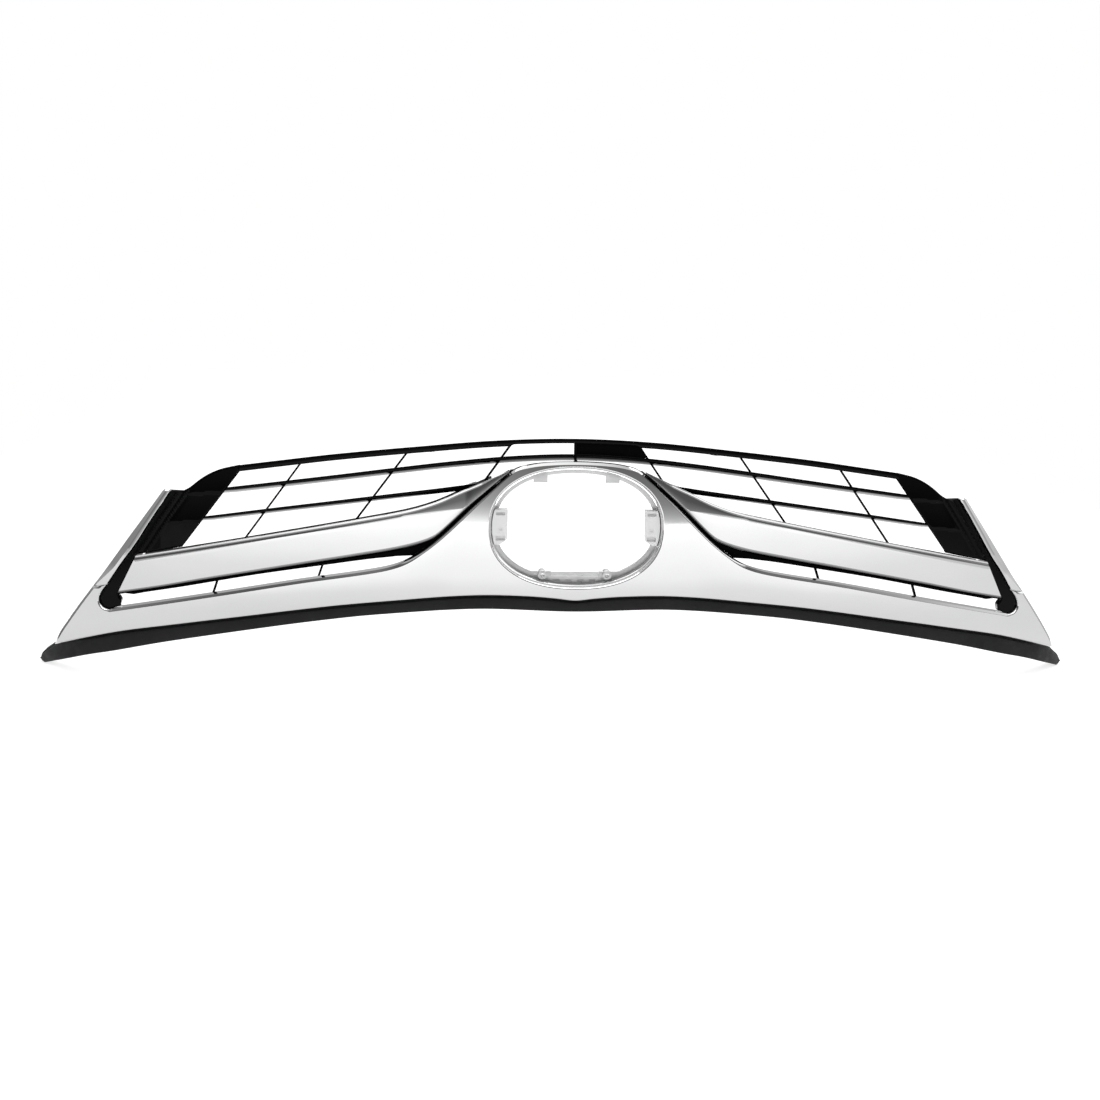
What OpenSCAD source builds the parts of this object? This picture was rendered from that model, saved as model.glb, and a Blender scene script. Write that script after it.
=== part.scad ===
// Front grille of a passenger car: a chrome surround with a raised hub and two lower arms,
// a pair of chrome wing bars, a black slatted carrier behind them, a silver badge seat in the
// hub, and a matt lower strip. Millimetres, +Z up, the front of the car towards -Y.
// The origin is the middle of the line through the two top bolt holes.
//
// Most pieces are sheets that follow the sweep of the car's nose. Each is the outline of the
// piece seen from the front, cut out of a band that is the sweep seen from above.

/* [Sweep of the nose] */
// How strongly the chrome face sweeps back towards its ends, in mm per 1000 square mm
chrome_sweep = 0.37; // [0.35:0.01:0.39]
// How strongly the slatted face sweeps back towards its ends, in mm per 1000 square mm
lattice_sweep = 0.17; // [0.16:0.01:0.18]
// How far the slatted face lies behind the hub face on the centre line
lattice_setback = 40; // [38:0.5:42]

/* [Badge opening] */
// Clear width of the oval opening in the chrome hub
badge_w = 169; // [165:1:170]
// Clear height of the oval opening in the chrome hub
badge_h = 116; // [113:1:117]
// Fullness of the oval: 2 is an ellipse, more is squarer
badge_fullness = 2.25; // [2.1:0.05:2.4]
// Distance between the two badge screw bosses
badge_boss_pitch = 65; // [61:1:67]
// Radius of the pilot holes for the badge screws
badge_hole_r = 2; // [1.6:0.1:2.4]

/* [Chrome mouldings] */
// Depth of the chrome surround from its face to its back edge
surround_depth = 14; // [13:0.5:15]
// Depth of the chrome wing bars from their face to their back edge
wing_depth = 12; // [11:0.5:13]
// Wall thickness of the chrome mouldings
chrome_wall = 3; // [2.4:0.2:3.2]
// Dark gap between the hub and the wing bars
hub_gap = 2.4; // [1.6:0.2:3]

/* [Black carrier] */
// Wall thickness of the channels behind the chrome
carrier_wall = 3; // [2.6:0.2:3.4]
// Height of the front face of the upper slat
slat_h = 7.4; // [6:0.2:7.6]
// Depth of a slat from front to back
slat_depth = 16; // [14:1:18]
// Height of the front face of the top rail
rail_h = 6.6; // [6:0.1:7]
// Depth of the top rail from front to back
rail_depth = 14; // [12:1:15]
// Width of a slanted rib seen from the front
rib_w = 2.4; // [1.6:0.1:3]
// Depth of a slanted rib
rib_depth = 4; // [3:0.5:5]
// Thickness of the cheek plates
cheek_t = 4; // [3:0.5:5]

/* [Lower strip] */
// Depth of the matt lower strip from front to back
strip_depth = 22; // [20:1:24]

/* [Fixings] */
// Distance between the two top bolt holes
top_bolt_pitch = 300; // [280:10:320]
// Radius of the top bolt holes
top_bolt_r = 4; // [3.3:0.1:4.5]
// Distance between the two side bolt holes
side_bolt_pitch = 810; // [806:1:814]
// Radius of the side bolt holes
side_bolt_r = 3.5; // [3:0.1:4]
// Distance between the two lower locating pins
pin_pitch = 440; // [430:10:450]
// Radius of the lower locating pins
pin_r = 4; // [3.5:0.1:4.5]
// Radius of the shank of the moulding screws
screw_r = 1.9; // [1.6:0.1:2]
// Radius of the studs on the back of the wing bars
stud_r = 2.5; // [2.2:0.1:2.6]

/* [Hidden] */

// The shape is drawn from the middle of the badge opening's face, then moved to the bolt line.
bolt_line = [0, 66, 72];
hub_face_y = -4;
oval_z = 2.6;

// Far limits that every outline and band stays inside
front_y = -40;
rear_y = 220;
low_z = -220;
high_z = 140;
half_span = 600;

// Spacing of the points along curved edges seen from the front, and of the bends in plan
edge_step = 11;
plan_step = 30;
fit = 0.1;

// Curved edges seen from the front: distance from the centre line, and height
rail_top = [[0, 87.6], [80, 84.6], [160, 77], [240, 68], [300, 59.6], [337, 54.2]];
cheek_top = [[337, 54.2], [356, 49.4], [368, 44.2], [378, 37.8], [388, 29.8], [394, 26.4]];
upper_slat_top = [[0, 72], [60, 69.5], [120, 63.4], [180, 55.4], [240, 46.8], [354, 30.6]];
middle_slat_top = [[97, 41.3], [135, 35.5], [180, 29.3], [240, 20.7], [300, 12], [376, 0.4]];
wing_top = [[64, 61.5], [96, 46.6], [116, 37.5], [135, 28.6], [155, 21.3], [175, 15.9],
            [214, 7.5], [294, -9.4], [380, -28], [444, -41.8]];
wing_low = [[133, -7], [150, -15.6], [175, -23.2], [214, -31.4], [274, -43.4], [371, -64],
            [422, -75.8], [466, -85]];
slot_top = [[165, -31.5], [176, -34.8], [205, -38.6], [240, -44.2], [320, -57.6],
            [398, -72.8], [440, -80.4], [463, -85.4]];
surround_top = [[0, 68.4], [30, 67.2], [50, 64.2], [64, 58.8], [94, 31.6], [135, -8.6],
                [160, -28.4], [176, -37.2], [200, -43.9], [275, -57.9], [366, -77.2], [474, -100.6]];
surround_low = [[0, -71.7], [20, -69.7], [45, -67.9], [85, -67.2], [120, -69], [160, -73.1],
                [244, -83.7], [353, -102.6], [406, -112.6], [459, -123.2], [500, -133.8],
                [537, -144.4]];
strip_low = [[0, -82.9], [80, -81.1], [120, -82.6], [170, -87.2], [224, -93.8], [301, -107.2],
             [408, -129.6], [470, -145.2], [503, -154], [541, -167.6], [553, -172.4]];

// Straight and nearly straight edges near the ends
upright_in = [[406.5, 26.4], [428, -5], [443, -28], [460.5, -51.6], [476, -74]];
upright_out = [[414.5, 26.4], [430, 5.5], [454, -26.5], [484, -67.3], [492, -77.6]];
corner_out = [[492, -77.6], [508, -98.6], [522, -118], [532, -133], [537, -144.4]];
corner_in = [[474, -100.6], [481, -99], [485, -93.4], [483.6, -86], [476, -74]];
slot_end = [[463, -97], [461.6, -91], [464, -87]];
wing_end = [[444, -41.8], [466, -85]];
strip_tip = [[557, -174], [561, -172.8], [563, -169], [560, -163.4], [551, -156], [538, -145.4]];

// Slanted ribs: top and bottom of each, seen from the front
lattice_ribs = [[[275, 58.4], [334, -23]], [[168, 72], [224, -4]], [[64, 82], [96, 36]]];
slot_ribs = [[[361, -64], [369, -88]], [[252, -40], [261, -66]]];

// Places of the fixings: distance from the centre line, and height
screw_spots = [[58, -56.5], [112, -30], [200, -63], [300, -81], [400, -99.7], [452, -111]];
stud_spots = [[150, 3], [270, -24], [390, -49]];
clip_places = [138, 290, 430];
clip_setback = 7.2;
side_bolt_z = -5;
pin_z = -67;
pin_length = 16;
side_bracket_y = 98;

// A viewpoint in front of the hub and a little above it. The black channels are kept low enough
// to show from there as no more than a thin dark line round the bright mouldings.
view_z = 278;
view_y = 1600;
shadow_line = 2.4;

// Depth of each sweep at a distance x from the centre line
chrome_face = function(x) hub_face_y + chrome_sweep / 1000 * x * x;
lattice_face = function(x) hub_face_y + lattice_setback + lattice_sweep / 1000 * x * x;
function behind(f, d) = function(x) f(x) + d;
function deeper(f, g) = function(x) max(f(x), g(x));
surround_back = behind(chrome_face, surround_depth);
wing_back = behind(chrome_face, wing_depth);
cheek_face = deeper(lattice_face, behind(chrome_face, 5));
cheek_back = deeper(behind(lattice_face, cheek_t), behind(chrome_face, 13));
carrier_back = deeper(behind(lattice_face, 14), behind(chrome_face, 24));
tip_start = 470;
tip_sweep = 3.6;
strip_setback = 3;
strip_face = function(x) chrome_face(x) + strip_setback
    + (x > tip_start ? tip_sweep / 1000 * pow(x - tip_start, 2) : 0);

// A smooth curve through points sorted by x, read at one x
function span(p, x, i = 0) = i >= len(p) - 2 || x < p[i + 1][0] ? i : span(p, x, i + 1);
function chord(p, i, j) = (p[j][1] - p[i][1]) / (p[j][0] - p[i][0]);
function grade(p, i) =
    i == 0 ? (p[0][0] == 0 ? 0 : chord(p, 0, 1))
    : i == len(p) - 1 ? chord(p, i - 1, i)
    : chord(p, i - 1, i + 1);
function curve(p, x) =
    let (i = span(p, x), h = p[i + 1][0] - p[i][0], t = (x - p[i][0]) / h)
    p[i][1] * (1 + 2 * t) * pow(1 - t, 2) + p[i + 1][1] * t * t * (3 - 2 * t)
    + h * (grade(p, i) * t * pow(1 - t, 2) - grade(p, i + 1) * t * t * (1 - t));

// Values of x from a to b in even steps, and points along a curve there, raised by dz
function steps(a, b) =
    let (n = max(1, round(abs(b - a) / edge_step))) [for (i = [0 : n]) a + (b - a) * i / n];
function run(p, a, b, dz = 0) = [for (x = steps(a, b)) [x, curve(p, x) + dz]];
function flip(p) = [for (i = [len(p) - 1 : -1 : 0]) p[i]];
function both(p) = concat(p, [for (q = flip(p)) if (q[0] > 0.001) [-q[0], q[1]]]);

// A closed outline, clockwise seen from the front, moved inwards by d
function unit(v) = v / norm(v);
function moved(p, i, d) =
    let (n = len(p), a = unit(p[i] - p[(i + n - 1) % n]), b = unit(p[(i + 1) % n] - p[i]),
         m = [a[1] + b[1], -a[0] - b[0]])
    p[i] + m * (2 * d / (m * m));
function inset(p, d) = [for (i = [0 : len(p) - 1]) moved(p, i, d)];

// The oval of the badge opening, grown by g all round
function signed_pow(v, e) = sign(v) * pow(abs(v), e);
function oval(g = 0, n = 72) =
    [for (i = [0 : n - 1]) let (t = -360 * (i + 0.5) / n)
        [(badge_w / 2 + g) * signed_pow(cos(t), 2 / badge_fullness),
         (badge_h / 2 + g) * signed_pow(sin(t), 2 / badge_fullness) + oval_z]];

// An outline seen from the front, given a depth, or cut out of a band that follows the sweep
module prism(outline, y0 = front_y, y1 = rear_y) {
    translate([0, y1, 0]) rotate([90, 0, 0]) linear_extrude(y1 - y0) polygon(outline);
}
module band(y0, y1) {
    n = ceil(half_span / plan_step);
    xs = [for (i = [-n : n]) i * plan_step];
    translate([0, 0, low_z]) linear_extrude(high_z - low_z) polygon(concat(
        [for (x = xs) [x, y0(abs(x))]],
        [for (x = flip(xs)) [x, y1(abs(x))]]
    ));
}
module sheet(outline, y0, y1) {
    intersection() {
        prism(outline);
        band(y0, y1);
    }
}
// A sheet hollowed from behind, with a front plate t thick
module channel(outline, hollow, y0, y1, t) {
    difference() {
        sheet(outline, y0, y1);
        sheet(hollow, behind(y0, t), behind(y1, 1));
    }
}
// A round bar or hole along Y, and a block between two corners
module rod(spot, y0, y1, r) {
    translate([spot[0], y0, spot[1]]) rotate([-90, 0, 0]) cylinder(h = y1 - y0, r = r, $fn = 48);
}
module block(a, b) {
    translate(a) cube(b - a);
}
module place(c) {
    color(c) translate(-bolt_line) children();
}
module on_left() {
    mirror([1, 0, 0]) children();
}
module both_sides() {
    children();
    on_left() children();
}

// ---- Black carrier: top rail, slats, ribs and cheeks ----

cheek_x = 337;
cheek_z = 47.4;
cheek_lean = 0.76;
centre_rail_h = 4.8;
function cheek_edge(z) = cheek_x + fit + (cheek_z - z) * cheek_lean;
function top_rail_outline() = both(concat(
    run(rail_top, 0, cheek_x), flip(run(rail_top, 66, cheek_x, -rail_h)), [[64, 79.6]],
    flip(run(rail_top, 0, 62, -centre_rail_h))));
tab_t = 2;
tab_inner = 9;
tab_outer = 17;
tab_reach = 13;
// How far the tab's root runs into the rail, behind the rail, and above the tab
tab_root = [4, 3, 2];
module top_tab() {
    y0 = lattice_face(top_bolt_pitch / 2) + rail_depth;
    x = top_bolt_pitch / 2;
    low = bolt_line[2] - tab_t;
    difference() {
        union() {
            block([x - tab_inner, y0, low], [x + tab_outer, bolt_line[1] + tab_reach, bolt_line[2]]);
            block([x - tab_inner, y0 - tab_root[0], low],
                [x + tab_outer, y0 + tab_root[1], bolt_line[2] + tab_root[2]]);
        }
        translate([x, bolt_line[1], low - 1]) cylinder(h = tab_t + 4, r = top_bolt_r, $fn = 48);
    }
}
module top_rail() {
    place("#101012") {
        sheet(top_rail_outline(), lattice_face, behind(lattice_face, rail_depth));
        both_sides() top_tab();
    }
}

function upper_slat_outline() = both(concat(
    run(upper_slat_top, 0, cheek_edge(31.4)), [[cheek_edge(31 - slat_h), 31 - slat_h]],
    flip(run(upper_slat_top, 0, 342, -slat_h))));
module upper_slat() {
    sheet(upper_slat_outline(), lattice_face, behind(lattice_face, slat_depth));
}

// The upper slat is parted where the inner ribs cross it
slat_parting = 76;
module upper_slat_centre() {
    place("#141416") intersection() {
        upper_slat();
        block([-slat_parting, front_y, low_z], [slat_parting, rear_y, high_z]);
    }
}
module upper_slat_side() {
    intersection() {
        upper_slat();
        block([slat_parting, front_y, low_z], [half_span, rear_y, high_z]);
    }
}
module upper_slat_right() { place("#141416") upper_slat_side(); }
module upper_slat_left() { place("#141416") on_left() upper_slat_side(); }

middle_slat_h = 6.2;
wedge_x = 119;
function middle_slat_outline() = concat(
    run(middle_slat_top, 99, cheek_edge(1.2)),
    [[cheek_edge(1 - middle_slat_h), 1 - middle_slat_h]],
    flip(run(middle_slat_top, wedge_x, 366, -middle_slat_h)),
    [for (x = [wedge_x : -10 : 99]) [x, carrier_top(x) + fit]]);
module middle_slat() {
    sheet(middle_slat_outline(), lattice_face, behind(lattice_face, slat_depth));
}
module middle_slat_right() { place("#141416") middle_slat(); }
module middle_slat_left() { place("#141416") on_left() middle_slat(); }

// A rib is a thin upright fin between two points, cut where the rails and channels cross it
module fin(ends) {
    w = [rib_w / 2, 0];
    outline = [ends[0] - w, ends[0] + w, ends[1] + w, ends[1] - w];
    sheet(outline, behind(lattice_face, 1), behind(lattice_face, 1 + rib_depth));
}
module ribs() {
    difference() {
        for (ends = concat(lattice_ribs, slot_ribs)) fin(ends);
        prism(top_rail_outline());
        prism(upper_slat_outline());
        prism(middle_slat_outline());
        prism(wing_carrier_outline());
        prism(arm_carrier_outline());
    }
}
module ribs_right() { place("#161618") ribs(); }
module ribs_left() { place("#161618") on_left() ribs(); }

// The post on the centre line steps forward below the upper slat and stands on the hub
post_w = 2.6;
post_gap = 0.3;
module centre_post() {
    y = lattice_face(0);
    foot_z = badge_h / 2 + oval_z + seat_fit + post_gap;
    half = post_w / 2;
    place("#161618") difference() {
        union() {
            block([-half, y - 2, foot_z], [half, y + 4, 84]);
            block([-half, surround_back(0) + carrier_wall, foot_z], [half, y, foot_z + 3]);
        }
        prism(top_rail_outline());
        sheet(upper_slat_outline(), lattice_face, behind(lattice_face, slat_depth));
    }
}

// A blank closes the cell on the right of the post
blank_end = [[64.2, 79.5], [71.6, 68.8]];
module centre_blank() {
    x0 = post_w / 2 + fit;
    outline = concat(run(rail_top, x0, 61, -centre_rail_h - fit), blank_end,
        flip(run(upper_slat_top, x0, 66, fit)));
    place("#0d0d0f") sheet(outline, behind(lattice_face, 1), behind(lattice_face, 1 + cheek_t));
}

// The cheek closes the outer end of the slats, and its rear wall carries the wing's outer end
function cheek_outline() = concat(
    run(cheek_top, cheek_x + fit, 394), upright_in,
    flip(corner_in), slot_end, [wing_end[1] + [2 * fit, 0], wing_end[0] + [2 * fit, 2 * fit]],
    flip(run(wing_top, 399, 438, 2 * fit)),
    [[cheek_edge(-31.4), -31.4], [cheek_edge(cheek_z), cheek_z]]);
function cheek_wall_outline() = [[440.6, -44], [450, -44], [472, -87], [461, -85]];
module cheek() {
    sheet(cheek_outline(), cheek_face, cheek_back);
    sheet(cheek_wall_outline(), behind(wing_back, fit), carrier_back);
}
module cheek_right() { place("#0b0b0d") cheek(); }
module cheek_left() { place("#0b0b0d") on_left() cheek(); }

// ---- Black carrier: the channels behind the chrome ----

function gap_line(x) = curve(surround_top, x);
function hidden(x, z) = (view_z - z) / view_y * (carrier_back(x) - chrome_face(x));
function carrier_top(x) = let (z = curve(wing_top, x)) z + shadow_line - hidden(x, z);
function carrier_low(x) =
    let (z = curve(slot_top, x))
    z + (view_z - z) / view_y * (lattice_face(x) - wing_back(x));

function wing_carrier_outline(d = 0) = concat(
    [for (x = steps(84 + 7 * d, 438 - d)) [x, carrier_top(x) - d]],
    [[460 - d, -85 + d]],
    [for (x = steps(450 - d, 178)) [x, carrier_low(x) + d]],
    [for (x = steps(162, 84 + 5 * d)) [x + fit + 1.4 * d, gap_line(x)]]);
module wing_carrier() {
    difference() {
        channel(wing_carrier_outline(), wing_carrier_outline(carrier_wall),
            wing_back, carrier_back, carrier_wall);
        for (s = stud_spots) rod(s, front_y, rear_y, stud_r + 0.3);
    }
}
module wing_carrier_right() { place("#1a1a1c") wing_carrier(); }
module wing_carrier_left() { place("#1a1a1c") on_left() wing_carrier(); }

arm_start = 150;
arm_end = 470;
function arm_top(x) = let (z = curve(surround_top, x)) z - 1 - hidden(x, z);
function arm_carrier_outline(d = 0) = concat(
    [for (x = steps(arm_start + 2 * fit + d, arm_end - d)) [x, arm_top(x) - d]],
    flip(run(surround_low, arm_start + 2 * fit + d, arm_end - d, 3 + d)));

// A clip stands behind the chrome: z0 and z1 are heights from the lower edge of the chrome there
module clip_pin(x, z0, z1, r) {
    z = curve(surround_low, x);
    translate([x, surround_back(x) + clip_setback, z + z0]) cylinder(h = z1 - z0, r = r, $fn = 32);
}
module clip_hole(x) {
    clip_pin(x, -6, 8, clip_r + 0.2);
}
module screw_holes() {
    for (s = screw_spots) rod(s, front_y, rear_y, screw_r + 0.3);
}
module arm_carrier() {
    pin_x = pin_pitch / 2;
    difference() {
        channel(arm_carrier_outline(), arm_carrier_outline(carrier_wall),
            surround_back, carrier_back, carrier_wall);
        screw_holes();
        for (x = clip_places) if (x > arm_start) clip_hole(x);
    }
    rod([pin_x, pin_z], surround_back(pin_x) + 1, carrier_back(pin_x), pin_r + 1.5);
    rod([pin_x, pin_z], carrier_back(pin_x) - 1, carrier_back(pin_x) + pin_length, pin_r);
}
module arm_carrier_right() { place("#1a1a1c") arm_carrier(); }
module arm_carrier_left() { place("#1a1a1c") on_left() arm_carrier(); }

// The hub carrier is a ring plate behind the hub, with a deep channel below and beside the oval
seat_fit = 3;
function hub_plate_outline() = both(concat(
    run(surround_top, 0, 52, -3), [for (x = steps(62, 76)) [x + 4, gap_line(x) - 1.5]],
    [for (x = steps(83, arm_start)) [x - fit, gap_line(x - fit)]],
    flip(run(surround_low, 0, arm_start, 3))));
function hub_channel_outline(d = 0) = both(concat(
    [[0, 38 - d], [84 - d, 38 - d]],
    [for (x = steps(88, arm_start)) [x - fit - 1.4 * d, gap_line(x) - fit]],
    flip(run(surround_low, 0, arm_start - fit - 1.4 * d, 3 + d))));
module hub_carrier() {
    place("#18181a") difference() {
        union() {
            sheet(hub_plate_outline(), surround_back, behind(surround_back, carrier_wall));
            difference() {
                sheet(hub_channel_outline(), surround_back, carrier_back);
                difference() {
                    sheet(hub_channel_outline(carrier_wall), behind(surround_back, 1),
                        behind(carrier_back, 1));
                    prism(oval(seat_fit + carrier_wall));
                }
            }
        }
        prism(oval(seat_fit));
        both_sides() screw_holes();
        both_sides() clip_hole(clip_places[0]);
    }
}

// ---- Chrome ----

function surround_outline() = both(concat(
    run(surround_top, 0, 474), [for (i = [1 : 4]) corner_in[i]],
    corner_out, flip(run(surround_low, 0, 528))));
boss_r = 4.2;
module surround_bosses(r) {
    for (s = screw_spots) rod(s, chrome_face(s[0]) + chrome_wall - 1, rear_y, r);
}
module surround_shell() {
    difference() {
        sheet(surround_outline(), chrome_face, surround_back);
        difference() {
            sheet(inset(surround_outline(), chrome_wall), behind(chrome_face, chrome_wall),
                behind(surround_back, 1));
            prism(oval(chrome_wall));
            both_sides() surround_bosses(boss_r);
        }
        prism(oval());
        both_sides() for (s = screw_spots)
            rod(s, chrome_face(s[0]) + chrome_wall + 1.5, rear_y, screw_r + 0.1);
    }
}
// The shell is parted into the hub and the two arms where each arm leaves the hub
hub_half = 150;
module chrome_surround() {
    place("#e8e8ea") intersection() {
        surround_shell();
        block([-hub_half, front_y, low_z], [hub_half, rear_y, high_z]);
    }
}
module surround_arm() {
    intersection() {
        surround_shell();
        block([hub_half + fit, front_y, low_z], [half_span, rear_y, high_z]);
    }
}
module surround_arm_right() { place("#e8e8ea") surround_arm(); }
module surround_arm_left() { place("#e8e8ea") on_left() surround_arm(); }

// The upright trim strips carry the frame up the outer edge of the cheeks
seam = [-0.2, 0.3];
upright_wall = 2.2;
function upright_outline() = concat(
    [for (i = [0 : 3]) upright_out[i]],
    [upright_out[4] + seam, upright_in[4] + seam],
    flip([for (i = [0 : 3]) upright_in[i]]));
module upright() {
    channel(upright_outline(), inset(upright_outline(), upright_wall),
        chrome_face, surround_back, upright_wall);
}
module upright_right() { place("#dcdcde") upright(); }
module upright_left() { place("#dcdcde") on_left() upright(); }

// A wing bar: pointed at the hub, where it follows the edge of the hub across a thin dark gap
function wing_outline(d = 0) = concat(
    run(wing_top, 67 + 9 * d, 444 - 1.3 * d, -d), [wing_end[1] + [-1.3 * d, d]],
    flip(run(wing_low, 141 + 2 * d, 455 - 1.3 * d, d)),
    [for (x = steps(134, 66 + 7 * d)) [x + hub_gap + 1.4 * d, gap_line(x)]]);
module wing() {
    channel(wing_outline(), wing_outline(chrome_wall), chrome_face, wing_back, chrome_wall);
    for (s = stud_spots)
        rod(s, chrome_face(s[0]) + chrome_wall - 1, wing_back(s[0]) + carrier_wall + 6, stud_r);
}
module wing_right() { place("#f0f0f2") wing(); }
module wing_left() { place("#f0f0f2") on_left() wing(); }

// ---- Badge seat ----

seat_y = 13;
seat_t = 3;
seat_back = 34;
flat_z = -44;
boss_z = -47;
boss_r_seat = 4.5;
lug = [29, 43, 46.5];
shelf_half = 26;
module badge_seat() {
    place("#c9cbd0") difference() {
        union() {
            difference() {
                prism(oval(seat_fit - fit), seat_y, seat_back);
                prism(oval(-0.5), seat_y + seat_t, rear_y);
                intersection() {
                    prism(oval(-4.6));
                    block([-100, front_y, flat_z], [100, rear_y, 100]);
                }
            }
            both_sides() intersection() {
                block([lug[0], seat_y, lug[2]], [lug[1], seat_y + 5, badge_h / 2]);
                prism(oval(0));
            }
            block([-shelf_half, seat_y, -51], [shelf_half, seat_y + 24, -49]);
            both_sides()
                rod([badge_boss_pitch / 2, boss_z], seat_y - 5, seat_y + 9, boss_r_seat);
        }
        block([2 - shelf_half, front_y, -48.8], [shelf_half - 2, rear_y, flat_z + 1]);
        for (i = [-1.5 : 1.5]) block([i * 12 - 3, front_y, -54.6], [i * 12 + 3, seat_y + 2, -52]);
        both_sides() rod([badge_boss_pitch / 2, boss_z], front_y, rear_y, badge_hole_r);
    }
}
// A clip tower: a block with a dimpled face, a slot above it, and a wider slot and a snout below
clip_x = 68.5;
clip_front = 3;
clip_outline = [[clip_x, 20], [90, 20], [90, -15.5], [77, -15.5], [71.5, -12], [clip_x, -9]];
slot_x0 = 71;
slot_x1 = 80;
slot_deep = 6;
module clip_slot(z0, z1, deep) {
    block([slot_x0, 0, z0], [slot_x1, clip_front + deep, z1]);
}
module badge_clip() {
    difference() {
        intersection() {
            prism(clip_outline, clip_front, seat_y);
            prism(oval(-0.6));
        }
        clip_slot(14.4, 17.6, slot_deep);
        clip_slot(-11.2, -6.4, slot_deep);
        rod([0.5 * (slot_x0 + slot_x1), 1], 0, clip_front + 1.2, 2.2);
    }
}
module badge_clip_right() { place("#e4e5e8") badge_clip(); }
module badge_clip_left() { place("#e4e5e8") on_left() badge_clip(); }

// ---- Lower strip and fixings ----

clip_r = 2.4;
clip_head_r = 3;
screw_reach = 9;
nut_r = 6;
bracket_half = 13;
function strip_outline() = both(concat(
    run(surround_low, 0, 528), flip(strip_tip), flip(run(strip_low, 0, 553))));
module lower_strip() {
    place("#2b2b2d") difference() {
        sheet(strip_outline(), strip_face, behind(strip_face, strip_depth));
        both_sides() for (x = clip_places) clip_hole(x);
    }
}
module strip_clips() {
    place("#3a3a3e") both_sides() for (x = clip_places) {
        clip_pin(x, -5.8, 8.6, clip_r);
        clip_pin(x, 8.6, 10.2, clip_head_r);
    }
}
module moulding_screws() {
    place("#8d9095") both_sides() for (s = screw_spots) {
        y = surround_back(s[0]) + carrier_wall;
        rod(s, y - screw_reach, y + 2.4, screw_r);
        rod(s, y + 1.6, y + 4, boss_r);
    }
}
module wing_push_nuts() {
    place("#9a9da2") both_sides() for (s = stud_spots) {
        y = wing_back(s[0]) + carrier_wall;
        difference() {
            rod(s, y + 1.8, y + 3.2, nut_r);
            rod(s, y, y + 6, stud_r);
        }
    }
}

// A bolt bracket stands on the back of each cheek
module side_bracket() {
    x = side_bolt_pitch / 2;
    z = side_bolt_z;
    h = bracket_half;
    outline = [[x - h, z + h], [x + h, z + h], [x + h, z - h], [x - h, z - h]];
    difference() {
        intersection() {
            prism(outline, front_y, side_bracket_y);
            band(cheek_back, function(x) rear_y);
        }
        block([x - h + 3, front_y, z - h + 3], [x + h + 1, side_bracket_y - 3, z + h - 3]);
        rod([x, z], front_y, rear_y, side_bolt_r);
    }
}
module side_bracket_right() { place("#1a1a1c") side_bracket(); }
module side_bracket_left() { place("#1a1a1c") on_left() side_bracket(); }

top_rail();
upper_slat_centre();
upper_slat_left();
upper_slat_right();
middle_slat_left();
middle_slat_right();
ribs_left();
ribs_right();
centre_post();
centre_blank();
cheek_left();
cheek_right();
wing_carrier_left();
wing_carrier_right();
hub_carrier();
arm_carrier_left();
arm_carrier_right();
chrome_surround();
surround_arm_left();
surround_arm_right();
upright_left();
upright_right();
wing_left();
wing_right();
badge_seat();
badge_clip_left();
badge_clip_right();
lower_strip();
strip_clips();
moulding_screws();
wing_push_nuts();
side_bracket_left();
side_bracket_right();
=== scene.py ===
import math

import bmesh
import bpy
import numpy as np
from mathutils import Matrix, Vector
from mathutils.geometry import delaunay_2d_cdt


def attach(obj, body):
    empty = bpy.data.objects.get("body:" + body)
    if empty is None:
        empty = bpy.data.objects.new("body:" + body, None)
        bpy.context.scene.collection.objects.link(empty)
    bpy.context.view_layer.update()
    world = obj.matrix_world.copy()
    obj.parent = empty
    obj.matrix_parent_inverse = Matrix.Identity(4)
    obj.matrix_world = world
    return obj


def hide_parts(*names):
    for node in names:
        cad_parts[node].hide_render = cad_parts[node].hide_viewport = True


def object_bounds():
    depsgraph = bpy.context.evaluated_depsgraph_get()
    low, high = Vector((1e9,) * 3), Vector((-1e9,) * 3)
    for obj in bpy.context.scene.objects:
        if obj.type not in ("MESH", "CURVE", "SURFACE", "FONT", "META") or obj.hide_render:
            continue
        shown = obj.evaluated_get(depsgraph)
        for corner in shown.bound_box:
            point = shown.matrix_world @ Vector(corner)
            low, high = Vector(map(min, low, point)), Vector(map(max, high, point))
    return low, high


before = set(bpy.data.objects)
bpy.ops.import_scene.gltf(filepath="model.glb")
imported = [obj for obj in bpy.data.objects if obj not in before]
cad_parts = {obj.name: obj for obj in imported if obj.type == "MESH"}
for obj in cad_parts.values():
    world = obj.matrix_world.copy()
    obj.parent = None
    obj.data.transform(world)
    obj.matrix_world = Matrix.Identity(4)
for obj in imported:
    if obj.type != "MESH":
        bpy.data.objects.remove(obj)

CAD_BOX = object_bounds()

# ---- Shape of the grille, in millimetres from the middle of the badge opening's face ----
# X runs to the right seen from the front, -Y to the front of the car and Z up.
# The CAD frame's origin, the middle of the top bolt line, is at BOLT_LINE.
BOLT_LINE = np.array([0.0, 66.0, 72.0])
HUB_FACE_Y = -4.0
CHROME_SWEEP = 0.37e-3
LATTICE_SWEEP = 0.17e-3
LATTICE_SETBACK = 40.0
OVAL_W, OVAL_H, OVAL_Z, OVAL_FULLNESS = 169.0, 116.0, 2.6, 2.25
SURROUND_DEPTH = 14.0
WING_DEPTH = 12.0
WALL = 3.0
HUB_GAP = 2.4
SLAT_H, MIDDLE_SLAT_H, SLAT_DEPTH = 7.4, 6.2, 16.0
RAIL_H, CENTRE_RAIL_H, RAIL_DEPTH = 6.6, 4.8, 14.0
CHEEK_T = 4.0
# How far behind the chrome's face the cheek's face and back stay at least
CHEEK_SETBACK, CHEEK_BACK = 5, 13
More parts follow.
